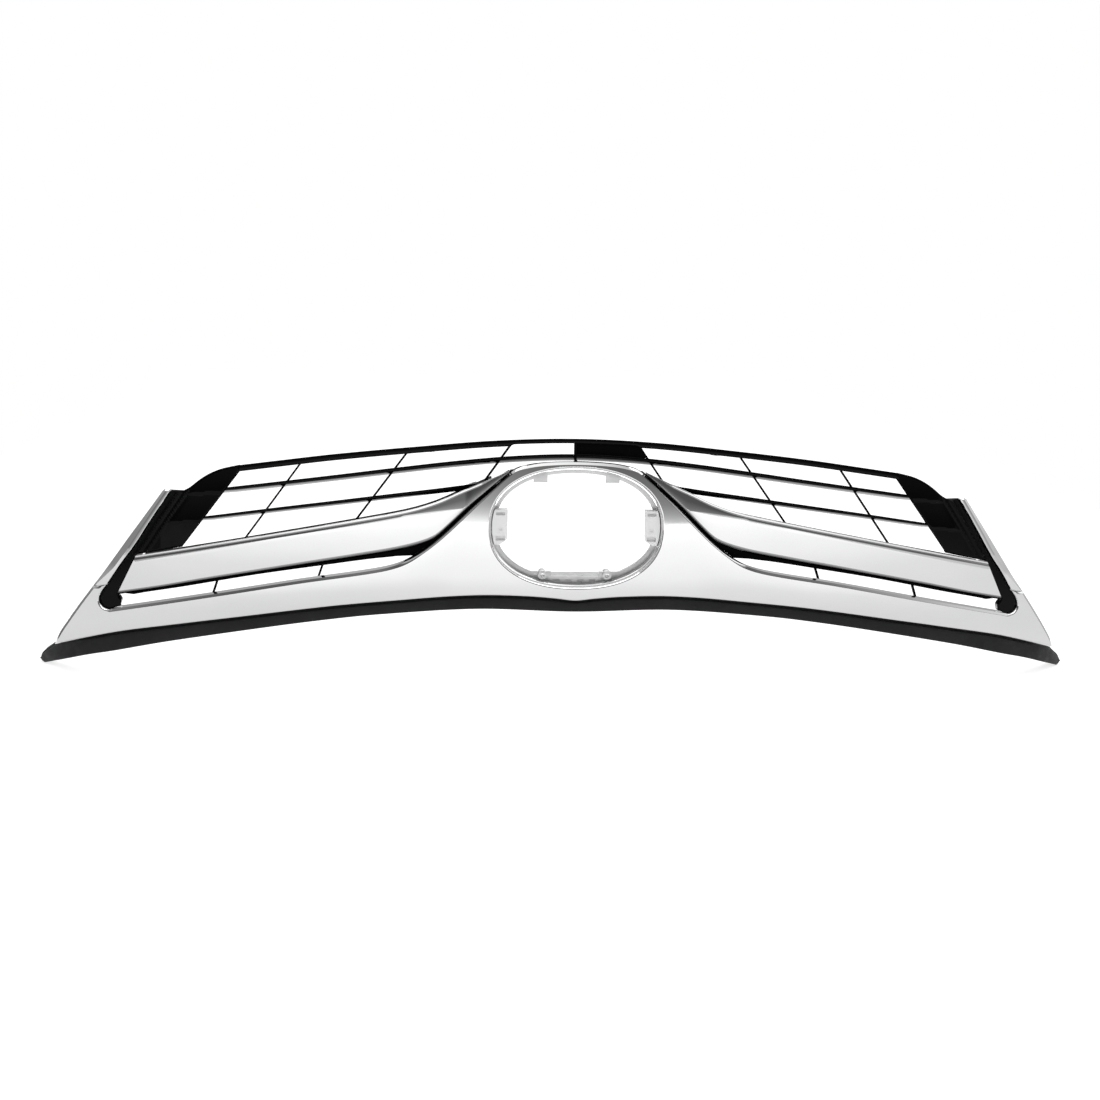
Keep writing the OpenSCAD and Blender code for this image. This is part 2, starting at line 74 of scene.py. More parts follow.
# The cheek's upper inner corner, and how its inner edge moves outwards as it goes down
CHEEK_CORNER = (337.1, 47.4)
CHEEK_LEAN = 0.76
# The carriers' back is at least this far behind the lattice's face and the chrome's face
CARRIER_PLATE, CARRIER_DEPTH = 14, 24
# How much of the wing's carrier shows above it in the usual view, as a dark line
SHADOW_LINE = 2.4
# The usual view: the eye's height above the badge opening and its distance from it
EYE_HEIGHT, EYE_DISTANCE = 278, 1600
# The bolt tab: its place, thickness, width to each side of the hole, and length behind it
TAB_X, TAB_T, TAB_INNER, TAB_OUTER, TAB_REACH = 150.0, 2.0, 9.0, 17.0, 13
STRIP_DEPTH = 22.0
STRIP_SETBACK = 3.0
TIP_START, TIP_SWEEP = 470.0, 3.6e-3
STEP = 2.5

# Curved edges seen from the front: distance from the centre line, and height
RAIL_TOP = [(0, 87.6), (80, 84.6), (160, 77), (240, 68), (300, 59.6), (337, 54.2)]
CHEEK_TOP = [(337, 54.2), (356, 49.4), (368, 44.2), (378, 37.8), (388, 29.8), (394, 26.4)]
UPPER_SLAT_TOP = [(0, 72), (60, 69.5), (120, 63.4), (180, 55.4), (240, 46.8), (354, 30.6)]
MIDDLE_SLAT_TOP = [(97, 41.3), (135, 35.5), (180, 29.3), (240, 20.7), (300, 12), (376, 0.4)]
WING_TOP = [(64, 61.5), (96, 46.6), (116, 37.5), (135, 28.6), (155, 21.3), (175, 15.9),
            (214, 7.5), (294, -9.4), (380, -28), (444, -41.8)]
WING_LOW = [(133, -7), (150, -15.6), (175, -23.2), (214, -31.4), (274, -43.4), (371, -64),
            (422, -75.8), (466, -85)]
SLOT_TOP = [(165, -31.5), (176, -34.8), (205, -38.6), (240, -44.2), (320, -57.6),
            (398, -72.8), (440, -80.4), (463, -85.4)]
SURROUND_TOP = [(0, 68.4), (30, 67.2), (50, 64.2), (64, 58.8), (94, 31.6), (135, -8.6),
                (160, -28.4), (176, -37.2), (200, -43.9), (275, -57.9), (366, -77.2), (474, -100.6)]
SURROUND_LOW = [(0, -71.7), (20, -69.7), (45, -67.9), (85, -67.2), (120, -69), (160, -73.1),
                (244, -83.7), (353, -102.6), (406, -112.6), (459, -123.2), (500, -133.8),
                (537, -144.4)]
STRIP_LOW = [(0, -82.9), (80, -81.1), (120, -82.6), (170, -87.2), (224, -93.8), (301, -107.2),
             (408, -129.6), (470, -145.2), (503, -154), (541, -167.6), (553, -172.4)]
UPRIGHT_IN = [(406.5, 26.4), (428, -5), (443, -28), (460.5, -51.6), (476, -74)]
UPRIGHT_OUT = [(414.5, 26.4), (430, 5.5), (454, -26.5), (484, -67.3), (492, -77.6)]
CORNER_OUT = [(492, -77.6), (508, -98.6), (522, -118), (532, -133), (537, -144.4)]
CORNER_IN = [(474, -100.6), (481, -99), (485, -93.4), (483.6, -86), (476, -74)]
SLOT_END = [(463, -97), (461.6, -91), (464, -87)]
STRIP_TIP = [(557, -174), (561, -172.8), (563, -169), (560, -163.4), (551, -156), (538, -145.4)]
# The crease between the wing's main face and the facet that opens out towards the hub
WING_CREASE = [(104, 21.5), (125, 19.6), (148, 16.6), (175, 12.2)]

SCREW_SPOTS = [(58, -56.5), (112, -30), (200, -63), (300, -81), (400, -99.7), (452, -111)]
STUD_SPOTS = [(150, 3), (270, -24), (390, -49)]
CLIP_PLACES = [138, 290, 430]
# How far behind the chrome's back the screws and nuts, and the strip's clips, are placed
FIXING_SETBACK, CLIP_SETBACK = 3, 7.2
SIDES = (("right", 1), ("left", -1))


# ---- Curves and sweeps ----

def curve(points, x, level=None):
    """Heights at x of a smooth curve through the points, level at its start if that is x = 0."""
    p = np.asarray(points, float)
    x = np.asarray(x, float)
    i = np.clip(np.searchsorted(p[:, 0], x, side="right") - 1, 0, len(p) - 2)
    grade = np.gradient(p[:, 1], p[:, 0])
    grade[1:-1] = (p[2:, 1] - p[:-2, 1]) / (p[2:, 0] - p[:-2, 0])
    if level if level is not None else p[0, 0] == 0:
        grade[0] = 0
    h = p[i + 1, 0] - p[i, 0]
    t = (x - p[i, 0]) / h
    ends = p[i, 1] * (1 + 2 * t) * (1 - t) ** 2 + p[i + 1, 1] * t * t * (3 - 2 * t)
    return ends + h * (grade[i] * t * (1 - t) ** 2 - grade[i + 1] * t * t * (1 - t))


def run(points, a, b, dz=0.0, step=STEP):
    """Points along a curve from x = a to x = b, raised by dz."""
    x = np.linspace(a, b, max(2, round(abs(b - a) / step) + 1))
    return np.stack([x, curve(points, x) + dz], 1)


def smooth_path(points, step=STEP):
    """Points along a smooth path through the given points, which need not be sorted by x."""
    p = np.asarray(points, float)
    s = np.concatenate([[0], np.cumsum(np.linalg.norm(np.diff(p, axis=0), axis=1))])
    t = np.linspace(0, s[-1], max(2, round(s[-1] / step) + 1))
    return np.stack([curve(np.stack([s, p[:, k]], 1), t, level=False) for k in (0, 1)], 1)


def along(path, share):
    """The point at a share, 0 to 1, of a path's length."""
    p = np.asarray(path, float)
    s = np.concatenate([[0], np.cumsum(np.linalg.norm(np.diff(p, axis=0), axis=1))])
    return np.stack([np.interp(np.asarray(share) * s[-1], s, p[:, k]) for k in (0, 1)], -1)


def join_paths(*paths):
    """One path out of several, without the repeated points where they meet."""
    p = np.concatenate(paths)
    keep = np.ones(len(p), bool)
    keep[1:] = np.linalg.norm(np.diff(p, axis=0), axis=1) > 0.05
    return p[keep]


def mirrored(half):
    """A closed outline from its right half, which starts and ends on the centre line."""
    left = half[::-1] * (-1, 1)
    return join_paths(half, left[np.abs(left[:, 0]) > 0.01])


def oval(grow=0.0, count=220):
    t = -2 * math.pi * (np.arange(count) + 0.5) / count
    power = 2 / OVAL_FULLNESS
    x = (OVAL_W / 2 + grow) * np.sign(np.cos(t)) * np.abs(np.cos(t)) ** power
    z = (OVAL_H / 2 + grow) * np.sign(np.sin(t)) * np.abs(np.sin(t)) ** power + OVAL_Z
    return np.stack([x, z], 1)


def chrome_face(x):
    return HUB_FACE_Y + CHROME_SWEEP * np.square(x)


def lattice_face(x):
    return HUB_FACE_Y + LATTICE_SETBACK + LATTICE_SWEEP * np.square(x)


def cheek_face(x):
    return np.maximum(lattice_face(x), chrome_face(x) + CHEEK_SETBACK)


def strip_face(x):
    tip = np.maximum(np.abs(x) - TIP_START, 0)
    return chrome_face(x) + STRIP_SETBACK + TIP_SWEEP * tip * tip


# ---- Mesh building ----

def to_frame(points):
    """Millimetres from the badge opening to metres in the CAD frame."""
    return (np.asarray(points, float) - BOLT_LINE) / 1000


def add_object(name, data):
    obj = bpy.data.objects.new(name, data)
    bpy.context.scene.collection.objects.link(obj)
    return obj


def piece(name, node, points, faces, material, sharp_deg=32):
    """A closed mesh that stands for one CAD node, or for several when node is a tuple of names."""
    mesh = bpy.data.meshes.new(name)
    mesh.from_pydata(to_frame(points).tolist(), [], [tuple(int(i) for i in f) for f in faces])
    bm = bmesh.new()
    bm.from_mesh(mesh)
    bmesh.ops.remove_doubles(bm, verts=bm.verts, dist=1e-6)
    bmesh.ops.recalc_face_normals(bm, faces=bm.faces)
    bm.to_mesh(mesh)
    bm.free()
    mesh.shade_smooth()
    mesh.set_sharp_from_angle(angle=math.radians(sharp_deg))
    obj = add_object(name, mesh)
    mesh.materials.append(material)
    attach(obj, "root")
    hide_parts(*((node,) if isinstance(node, str) else node))
    return obj


def piece_pair(name, node, mesh, material, sharp_deg):
    """A right-hand (points, faces) as a piece on each side, each for its side's node."""
    for side, sign in SIDES:
        piece(f"{name}_{side}", f"{node}_{side}", flipped(mesh[0], sign), mesh[1], material,
              sharp_deg)


def loft_mesh(rings):
    """Points and faces of a solid through closed rings of points, one ring per station."""
    rings = np.asarray(rings, float)
    stations, around = rings.shape[:2]
    faces = []
    for i in range(stations - 1):
        for j in range(around):
            a, b = i * around + j, i * around + (j + 1) % around
            faces.append((a, b, b + around, a + around))
    faces.append(tuple(range(around - 1, -1, -1)))
    faces.append(tuple(range((stations - 1) * around, stations * around)))
    return rings.reshape(-1, 3), faces


def merge(*meshes):
    """Several (points, faces) as one."""
    points, faces, start = [], [], 0
    for p, f in meshes:
        points.append(np.asarray(p, float))
        faces += [tuple(i + start for i in face) for face in f]
        start += len(p)
    return np.concatenate(points), faces


def flipped(points, sign):
    """Points, or the same mirrored to the left side for sign -1."""
    return np.asarray(points, float) * (sign, 1, 1)


def on_both_sides(meshes):
    """The right side's (points, faces), and the same again mirrored to the left."""
    return [(flipped(points, sign), faces) for _, sign in SIDES for points, faces in meshes]


def at_depth(flat, y):
    """Points in space from flat (x, z) points and their depths."""
    return np.stack([flat[:, 0], y, flat[:, 1]], 1)


def between(span, share):
    """The value at a share, 0 to 1, of a span."""
    return span[0] + (span[1] - span[0]) * share


def ease(t):
    return t * t * (3 - 2 * t)


def rolled_under(width, start, turn, steps, fall=0.0):
    """Points from width down to 0, falling back at an angle that grows from start by turn degrees."""
    share = np.linspace(0, 1, steps + 1)
    slope = np.tan(np.radians(start + turn * share))
    depth = fall + np.concatenate([[0], np.cumsum(0.5 * (slope[1:] + slope[:-1]) * width / steps)])
    return list(zip(width * (1 - share), depth))[1:]


def strip_ring(low, top, face, section):
    """One ring of a strip: section holds (distance from the low edge, depth behind the face)."""
    low, top = np.asarray(low, float), np.asarray(top, float)
    section = np.asarray(section, float)
    width = np.linalg.norm(top - low)
    way = (top - low) / width
    flat = low + section[:, :1] * way
    return at_depth(flat, face(flat[:, 0]) + section[:, 1])


def channel_section(front, width, depth, wall):
    """A front profile closed by a hollow back: out to the depth, in by the wall, and round."""
    front = np.asarray(front, float)
    wall = min(wall, 0.3 * width)
    inner = front[1:-1].copy()
    inner[:, 0] = np.clip(inner[:, 0], wall, width - wall)
    inner[:, 1] = np.minimum(inner[:, 1] + wall, depth - 0.5)
    inner = inner[::-1]
    rim = [(width - wall, depth)], [(wall, depth)]
    return np.concatenate([front, rim[0], inner, rim[1]])


def inside(points, loop):
    """Which points are inside a closed loop."""
    x, z = points[:, 0], points[:, 1]
    found = np.zeros(len(points), bool)
    for a, b in zip(loop, np.roll(loop, -1, axis=0)):
        if a[1] == b[1]:
            continue
        crosses = (a[1] > z) != (b[1] > z)
        found ^= crosses & (x < (b[0] - a[0]) * (z - a[1]) / (b[1] - a[1]) + a[0])
    return found


def edge_distance(points, loop):
    """Distance from each point to a closed loop, and the direction away from it."""
    a = loop
    way = np.roll(loop, -1, axis=0) - a
    length2 = (way ** 2).sum(1)
    best = np.full(len(points), 1e9)
    away = np.zeros((len(points), 2))
    for start in range(0, len(points), 800):
        p = points[start:start + 800]
        t = ((p[:, None] - a) * way).sum(2) / length2
        gap = p[:, None] - (a + np.clip(t, 0, 1)[..., None] * way)
        d = np.sqrt((gap ** 2).sum(2))
        near = d.argmin(1)
        rows = np.arange(len(p))
        best[start:start + 800] = d[rows, near]
        away[start:start + 800] = gap[rows, near] / np.maximum(d[rows, near], 1e-9)[:, None]
    return best, away


def inset(loop, d):
    """A closed clockwise loop moved inwards by d."""
    a = loop - np.roll(loop, 1, axis=0)
    b = np.roll(loop, -1, axis=0) - loop
    a /= np.linalg.norm(a, axis=1, keepdims=True)
    b /= np.linalg.norm(b, axis=1, keepdims=True)
    m = np.stack([a[:, 1] + b[:, 1], -a[:, 0] - b[:, 0]], 1)
    return loop + m * (2 * d / np.maximum((m ** 2).sum(1, keepdims=True), 0.5))


def edge_gaps(points, loops):
    """Distances from the loops' edges: positive inside the first loop and outside the others."""
    gaps = []
    for k, loop in enumerate(loops):
        gap = edge_distance(points, loop)[0]
        within = inside(points, loop)
        gaps.append(np.where(within == (k == 0), gap, -gap))
    return gaps


def fill(loops, extra=()):
    """Triangles that fill the first loop, less the others, through the extra points."""
    points = np.concatenate([*loops, *([extra] if len(extra) else [])])
    edges, start = [], 0
    for loop in loops:
        n = len(loop)
        edges += [(start + i, start + (i + 1) % n) for i in range(n)]
        start += n
    out = delaunay_2d_cdt([Vector(p) for p in points], edges, [], 0, 1e-5)
    flat = np.array([tuple(v) for v in out[0]])
    faces = np.array([f for f in out[2]])
    middle = flat[faces].mean(1)
    keep = inside(middle, loops[0])
    for hole in loops[1:]:
        keep &= ~inside(middle, hole)
    return flat, faces[keep]


def pressed_points(loops, rows, grid):
    """Points for a pressed face: rows at set distances from its edges, then an even grid."""
    low, high = loops[0].min(0), loops[0].max(0)
    x, z = np.meshgrid(np.arange(low[0], high[0], grid), np.arange(low[1], high[1], grid))
    spread = np.stack([x.ravel(), z.ravel()], 1)
    spread = spread[inside(spread, loops[0])]
    for hole in loops[1:]:
        spread = spread[~inside(spread, hole)]
    kept = [spread[clear_by(spread, loops, rows[-1] + grid * 0.6)]]
    for d in rows:
        for k, loop in enumerate(loops):
            row = inset(loop, d if k == 0 else -d)
            row = row[inside(row, loops[0])]
            kept.append(row[clear_by(row, loops, d * 0.97)])
    return np.concatenate(kept)


def clear_by(points, loops, d):
    """Which points lie at least d from every loop."""
    if not len(points):
        return np.zeros(0, bool)
    return np.min([edge_distance(points, loop)[0] for loop in loops], axis=0) >= d


def pressed(name, node, material, loops, height, back, rows, grid, hollow=None, extra=()):
    """A pressed sheet: a shaped face inside the loops, walls to the back, and a hollow behind.
    loops are clockwise, the outline first; height(x, z, distances) is the face's depth;
    hollow is (loops, floor) of the recess behind, or None. Normals follow the height itself."""
    flat, faces = fill(loops, pressed_points(loops, rows, grid))

    def depth(points):
        return height(points[:, 0], points[:, 1], edge_gaps(points, loops))

    parts = [(at_depth(flat, depth(flat)), faces)]
    for loop in loops:
        parts.append(wall_between(at_depth(loop, depth(loop)), at_depth(loop, back(loop[:, 0]))))
    if hollow:
        hollow_loops, floor_y = hollow
        for outer, inner in zip(loops, hollow_loops):
            pair = [outer, inner] if outer is loops[0] else [inner, outer]
            rim, rim_faces = fill(pair)
            parts.append((at_depth(rim, back(rim[:, 0])), rim_faces))
            rear = at_depth(inner, back(inner[:, 0]))
            parts.append(wall_between(rear, at_depth(inner, floor_y(inner[:, 0]))))
        floor, floor_faces = fill(hollow_loops)
        parts.append((at_depth(floor, floor_y(floor[:, 0])), floor_faces))
    else:
        rear, rear_faces = fill(loops)
        parts.append((at_depth(rear, back(rear[:, 0])), rear_faces))
    points, all_faces = merge(*parts, *extra)
    obj = piece(name, node, points, all_faces, material)
    true_normals(obj, loops, depth)


def wall_between(a, b):
    """Faces between two closed rings with the same number of points."""
    n = len(a)
    faces = [(i, (i + 1) % n, n + (i + 1) % n, n + i) for i in range(n)]
    return np.concatenate([a, b]), faces


def true_normals(obj, loops, depth):
    """Gives the front face the normals of its height function, so that reflections run smoothly."""
    mesh = obj.data
    co = np.zeros(len(mesh.vertices) * 3)
    mesh.vertices.foreach_get("co", co)
    co = co.reshape(-1, 3) * 1000 + BOLT_LINE
    flat = co[:, [0, 2]]
    on_face = np.abs(depth(flat) - co[:, 1]) < 0.02
    h = 0.15
    slope = []
    for axis in ((h, 0), (0, h)):
        slope.append((depth(flat + axis) - depth(flat - axis)) / (2 * h))
    normal = np.stack([slope[0], -np.ones(len(flat)), slope[1]], 1)
    normal /= np.linalg.norm(normal, axis=1, keepdims=True)
    corner_vertex = np.zeros(len(mesh.loops), int)
    mesh.loops.foreach_get("vertex_index", corner_vertex)
    custom = np.array([tuple(c.vector) for c in mesh.corner_normals])
    for face in mesh.polygons:
        corners = slice(face.loop_start, face.loop_start + face.loop_total)
        vertices = corner_vertex[corners]
        if on_face[vertices].all() and face.normal.y < -0.02:
            custom[corners] = normal[vertices]
    mesh.normals_split_custom_set(custom.tolist())


def lathe(profile, spot, axis, segments=32):
    """A turned solid: profile holds (radius, distance along the axis), from end to end."""
    t = np.linspace(0, 2 * math.pi, segments, endpoint=False)
    rings = []
    for radius, way in profile:
        a, b = radius * np.cos(t), radius * np.sin(t)
        if axis == "Y":
            ring = np.stack([spot[0] + a, np.full(segments, spot[1] + way), spot[2] + b], 1)
        else:
            ring = np.stack([spot[0] + a, spot[1] + b, np.full(segments, spot[2] + way)], 1)
        rings.append(ring)
    return loft_mesh(rings)


# ---- Materials ----

def node_material(name):
    material = bpy.data.materials.new(name)
    material.use_nodes = True
    nodes, links = material.node_tree.nodes, material.node_tree.links
    shader = nodes["Principled BSDF"]
    where = nodes.new("ShaderNodeTexCoord").outputs["Object"]
    return material, nodes, links, shader, where


def noise(nodes, links, where, scale, detail=3.0, stretch=None):
    texture = nodes.new("ShaderNodeTexNoise")
    texture.inputs["Scale"].default_value = scale
    texture.inputs["Detail"].default_value = detail
    if stretch:
        mapping = nodes.new("ShaderNodeMapping")
        mapping.inputs["Scale"].default_value = stretch
        links.new(where, mapping.inputs["Vector"])
        where = mapping.outputs["Vector"]
    links.new(where, texture.inputs["Vector"])
    return texture.outputs["Fac"]


def map_range(nodes, links, value, source, target=(0, 1)):
    """A value's place between two source numbers, spread between two target numbers."""
    node = nodes.new("ShaderNodeMapRange")
    for name, number in zip(("From Min", "From Max", "To Min", "To Max"), (*source, *target)):
        node.inputs[name].default_value = number
    links.new(value, node.inputs["Value"])
    return node.outputs["Result"]


def spread_to(nodes, links, value, low, high, socket):
    """Drives a number socket between low and high."""
    links.new(map_range(nodes, links, value, (0.3, 0.7), (low, high)), socket)


def blend_colour(nodes, links, value, dark, light, shader):
    ramp = nodes.new("ShaderNodeValToRGB")
    ramp.color_ramp.elements[0].position = 0.35
    ramp.color_ramp.elements[1].position = 0.65
    ramp.color_ramp.elements[0].color = (*dark, 1)
    ramp.color_ramp.elements[1].color = (*light, 1)
    links.new(value, ramp.inputs["Fac"])
    links.new(ramp.outputs["Color"], shader.inputs["Base Color"])


def bump(nodes, links, value, strength, distance, shader):
    node = nodes.new("ShaderNodeBump")
    node.inputs["Strength"].default_value = strength
    node.inputs["Distance"].default_value = distance
    links.new(value, node.inputs["Height"])
    links.new(node.outputs["Normal"], shader.inputs["Normal"])


def chrome_material(name, painted_underside_shade=False):
    """Bright plate: a faint tint change, and a haze that comes and goes like a wiped surface.
    Faces that look down get painted shade when asked: their colour darkens to near black, standing in
    for a dark reflection below."""
    material, nodes, links, shader, where = node_material(name)
    shader.inputs["Metallic"].default_value = 1.0
    cloud = noise(nodes, links, where, 9.0, 4.0, (1, 1, 2.5))
    blend_colour(nodes, links, cloud, (0.765, 0.767, 0.77), (0.79, 0.79, 0.79), shader)
    spread_to(nodes, links, noise(nodes, links, where, 55.0, 5.0), 0.035, 0.075,
              shader.inputs["Roughness"])
    bump(nodes, links, noise(nodes, links, where, 26.0, 2.0), 0.04, 0.0006, shader)
    if painted_underside_shade:
        # Painted shade: the base colour is mixed towards near black on faces that look down, in place of
        # a darker reflection
        bright = shader.inputs["Base Color"].links[0].from_socket
        facing = nodes.new("ShaderNodeSeparateXYZ")
        links.new(nodes.new("ShaderNodeNewGeometry").outputs["Normal"], facing.inputs[0])
        down = map_range(nodes, links, facing.outputs["Z"], (-0.18, -0.66))
        tone = nodes.new("ShaderNodeMix")
        tone.data_type = "RGBA"
        links.new(down, tone.inputs["Factor"])
        links.new(bright, tone.inputs[6])
        # The near-black colour of the painted shade
        tone.inputs[7].default_value = (0.09, 0.09, 0.092, 1)
        links.new(tone.outputs[2], shader.inputs["Base Color"])
    return material


def plastic_material(name, dark, light, roughness, specular, grain_scale, grain, metallic=0.0):
    material, nodes, links, shader, where = node_material(name)
    shader.inputs["Specular IOR Level"].default_value = specular
    shader.inputs["Metallic"].default_value = metallic
    blend_colour(nodes, links, noise(nodes, links, where, 14.0, 5.0), dark, light, shader)
    spread_to(nodes, links, noise(nodes, links, where, 90.0, 4.0), roughness * 0.85,
              roughness * 1.2, shader.inputs["Roughness"])
    bump(nodes, links, noise(nodes, links, where, grain_scale, 3.0), grain, 0.0004, shader)
    return material


def metal_material(name, dark, light, roughness):
    material, nodes, links, shader, where = node_material(name)
    shader.inputs["Metallic"].default_value = 1.0
    blend_colour(nodes, links, noise(nodes, links, where, 260.0, 6.0), dark, light, shader)
    spread_to(nodes, links, noise(nodes, links, where, 500.0, 3.0, (1, 8, 1)), roughness * 0.7,
              roughness * 1.3, shader.inputs["Roughness"])
    bump(nodes, links, noise(nodes, links, where, 900.0, 2.0, (1, 6, 1)), 0.15, 0.0001, shader)
    return material


CHROME = chrome_material("bright_chrome")
# The wings' chrome, with painted shade on the faces that look down
WING_CHROME_PAINTED_SHADE = chrome_material("bright_chrome_painted_shade", True)
GLOSS_BLACK = plastic_material("gloss_black_plastic", (0.001, 0.001, 0.0012),
                               (0.0018, 0.0018, 0.002), 0.12, 0.1, 60.0, 0.04)
SATIN_BLACK = plastic_material("satin_black_plastic", (0.0022, 0.0022, 0.0024),
                               (0.0032, 0.0032, 0.0035), 0.5, 0.015, 700.0, 0.12)
MATT_BLACK = plastic_material("matt_grained_plastic", (0.015, 0.015, 0.0153),
                              (0.02, 0.02, 0.0204), 0.6, 0.2, 1500.0, 0.5)
SILVER = plastic_material("satin_silver_paint", (0.84, 0.84, 0.845), (0.88, 0.88, 0.88),
                          0.32, 0.5, 900.0, 0.08, metallic=0.15)
SEAT_SILVER = plastic_material("satin_silver_seat", (0.66, 0.66, 0.665), (0.7, 0.7, 0.7),
                               0.32, 0.5, 900.0, 0.08, metallic=0.6)
NYLON = plastic_material("dark_nylon", (0.03, 0.03, 0.033), (0.045, 0.045, 0.05), 0.5, 0.3,
                         800.0, 0.2)
ZINC = metal_material("zinc_plate", (0.48, 0.48, 0.46), (0.66, 0.66, 0.63), 0.32)


# ---- Chrome surround ----

def surround_outline(step=STEP):
    inner = smooth_path(CORNER_IN, step)
    outer = smooth_path(CORNER_OUT, step)
    half = join_paths(run(SURROUND_TOP, 0, 474, step=step), inner, outer,
                      run(SURROUND_LOW, 0, 528, step=step)[::-1])
    return mirrored(half)


ROLL = 2.4
OVAL_ROLL = 2.8


def roll_depth(d, radius, kink=0.55):
    """How far a rounded edge falls back at a distance d from the edge, after a first kink."""
    t = np.clip(1 - d / radius, 0, 1)
    return radius * (1 - np.sqrt(1 - t * t)) + kink * radius * t


def chamfer_depth(d, width, slope):
    """How far a flat chamfer falls back at a distance d from the edge."""
    return slope * np.maximum(width - d, 0)


def surround_height(x, z, gaps):
    ax = np.abs(x)
    lean = 0.0011 * np.maximum(z + 1, 0) ** 2
    middle = 0.5 * (curve(SURROUND_TOP, np.minimum(ax, 474))
                    + curve(SURROUND_LOW, np.minimum(ax, 537)))
    arm = np.clip((ax - 120) / 120, 0, 1)
    above = np.where(ax > 440, np.minimum(z - middle, 14), z - middle)
    crown = arm * 0.0016 * above ** 2 + (1 - arm) * 0.0006 * np.maximum(-z - 48, 0) ** 2
    slot_side = np.clip((ax - 150) / 25, 0, 1) * (z > middle) * (ax < 474)
    slot_side = slot_side + np.clip((64 - ax) / 14, 0, 1) * (z > 50)
    round_edge = roll_depth(gaps[0], ROLL)
    flat_edge = chamfer_depth(gaps[0], 2.6, 0.44)
    edge = round_edge + slot_side * (flat_edge - round_edge)
    return chrome_face(x) + lean + crown + edge + roll_depth(gaps[1], OVAL_ROLL, 1)


def chrome_back(x):
    return chrome_face(x) + SURROUND_DEPTH


def boss(spot, front, rear, radius, hole):
    """A hollow screw boss with its mouth to the rear."""
    profile = [(radius, front), (radius, rear - 0.4), (radius - 0.4, rear), (hole, rear),
               (hole, front + 2)]
    return lathe(profile, (spot[0], 0, spot[1]), "Y", 24)


def make_surround():
    loops = [surround_outline(), oval()]
    coarse = surround_outline(9.0)
    hollow_loops = [inset(coarse, WALL), oval(WALL, 96)]
    bosses = [boss((x, z), chrome_face(x) + WALL - 0.5, chrome_face(x) + 13.6, 4.2, 2)
              for x, z in SCREW_SPOTS]
    nodes = ("chrome_surround", "surround_arm_left", "surround_arm_right")
    pressed("chrome_surround_shell", nodes, CHROME, loops, surround_height,
            chrome_back, [0.3, 0.8, 1.5, 2.38, 2.42, 2.58, 2.62, 2.78, 2.82, 3.8, 5.0], 3.2,
            (hollow_loops, lambda x: chrome_face(x) + WALL + 3.2), on_both_sides(bosses))


# ---- Wing bars ----

# The wing's first and last x, along its upper and its lower edge
WING_TOP_SPAN = (67, 444)
WING_LOW_SPAN = (68.6, 466)


def wing_low_edge():
    """The wing's lower edge: along the hub across the dark gap, then along the lower slot."""
    x = np.linspace(66, 134, 40)
    hub_side = np.stack([x + HUB_GAP, curve(SURROUND_TOP, x)], 1)
    return join_paths(hub_side, run(WING_LOW, 141, WING_LOW_SPAN[1]))


def wing_front(width, low_z, top_z, x):
    """The wing's profile from its lower back edge over the face to its upper back edge."""
    bevel = min(5.4, 0.24 * width)
    lip = min(3.6, 0.2 * width)
    if x < WING_CREASE[0][0]:
        crease_z = low_z
    elif x < WING_CREASE[-1][0]:
        crease_z = float(curve(WING_CREASE, x))
    else:
        crease_z = top_z - 5.4
    crease = np.clip((crease_z - low_z) / (top_z - low_z) * width, bevel + 0.4, width - lip - 0.9)
    facet = width - lip - crease
    back = 0.1 * facet
    face = [(bevel + (crease - bevel) * t, 0.3 * (1 - t) ** 2) for t in np.linspace(0, 1, 8)]
    rise = [(crease + facet * t, 0.06 * facet * t + back * t * t) for t in (0.05, 0.35, 0.7, 1)]
    under = rolled_under(bevel, 18, 36, 6, 0.3)
    foot = under[-1][1]
    lip_foot = 0.06 * facet + back
    return np.array([
        (0, WING_DEPTH), (0, foot + 1), *under[::-1], *face, *rise,
        (width - lip * 0.6, lip_foot - 0.75), (width - lip * 0.54, lip_foot - 0.78),
        (width - 0.2, lip_foot - 0.7), (width - 0.05, lip_foot - 0.55), (width, lip_foot - 0.3),
        (width - 0.2, lip_foot + 0.8), (width - 0.13 * lip - 2.0, WING_DEPTH)])


def make_wings():
    low_edge = wing_low_edge()
    top_edge = run(WING_TOP, *WING_TOP_SPAN)
    low_edge[0] = (WING_LOW_SPAN[0], 57.0)
    share = np.linspace(0, 1, 150)
    low_x, top_x = between(WING_LOW_SPAN, share), between(WING_TOP_SPAN, share)
    low_z = np.interp(low_x, low_edge[:, 0], low_edge[:, 1])
    top_z = np.interp(top_x, top_edge[:, 0], top_edge[:, 1])
    rings = []
    for lx, lz, tx, tz in zip(low_x, low_z, top_x, top_z):
        width = math.hypot(tx - lx, tz - lz)
        front = wing_front(width, lz, tz, 0.5 * (lx + tx))
        section = channel_section(front, width, WING_DEPTH, WALL)
        rings.append(strip_ring((lx, lz), (tx, tz), chrome_face, section))
    studs = [lathe([(2.5, chrome_face(x) + WALL - 0.5), (2.5, chrome_face(x) + 20.4),
                    (2.1, chrome_face(x) + 21)], (x, 0, z), "Y", 20) for x, z in STUD_SPOTS]
    # The wing bars take the chrome with painted shade on their downward faces, such as the lower bevel
    piece_pair("wing_bar", "wing", merge(loft_mesh(rings), *studs), WING_CHROME_PAINTED_SHADE, 14)


# ---- Uprights ----

UPRIGHT_WALL = 2.2


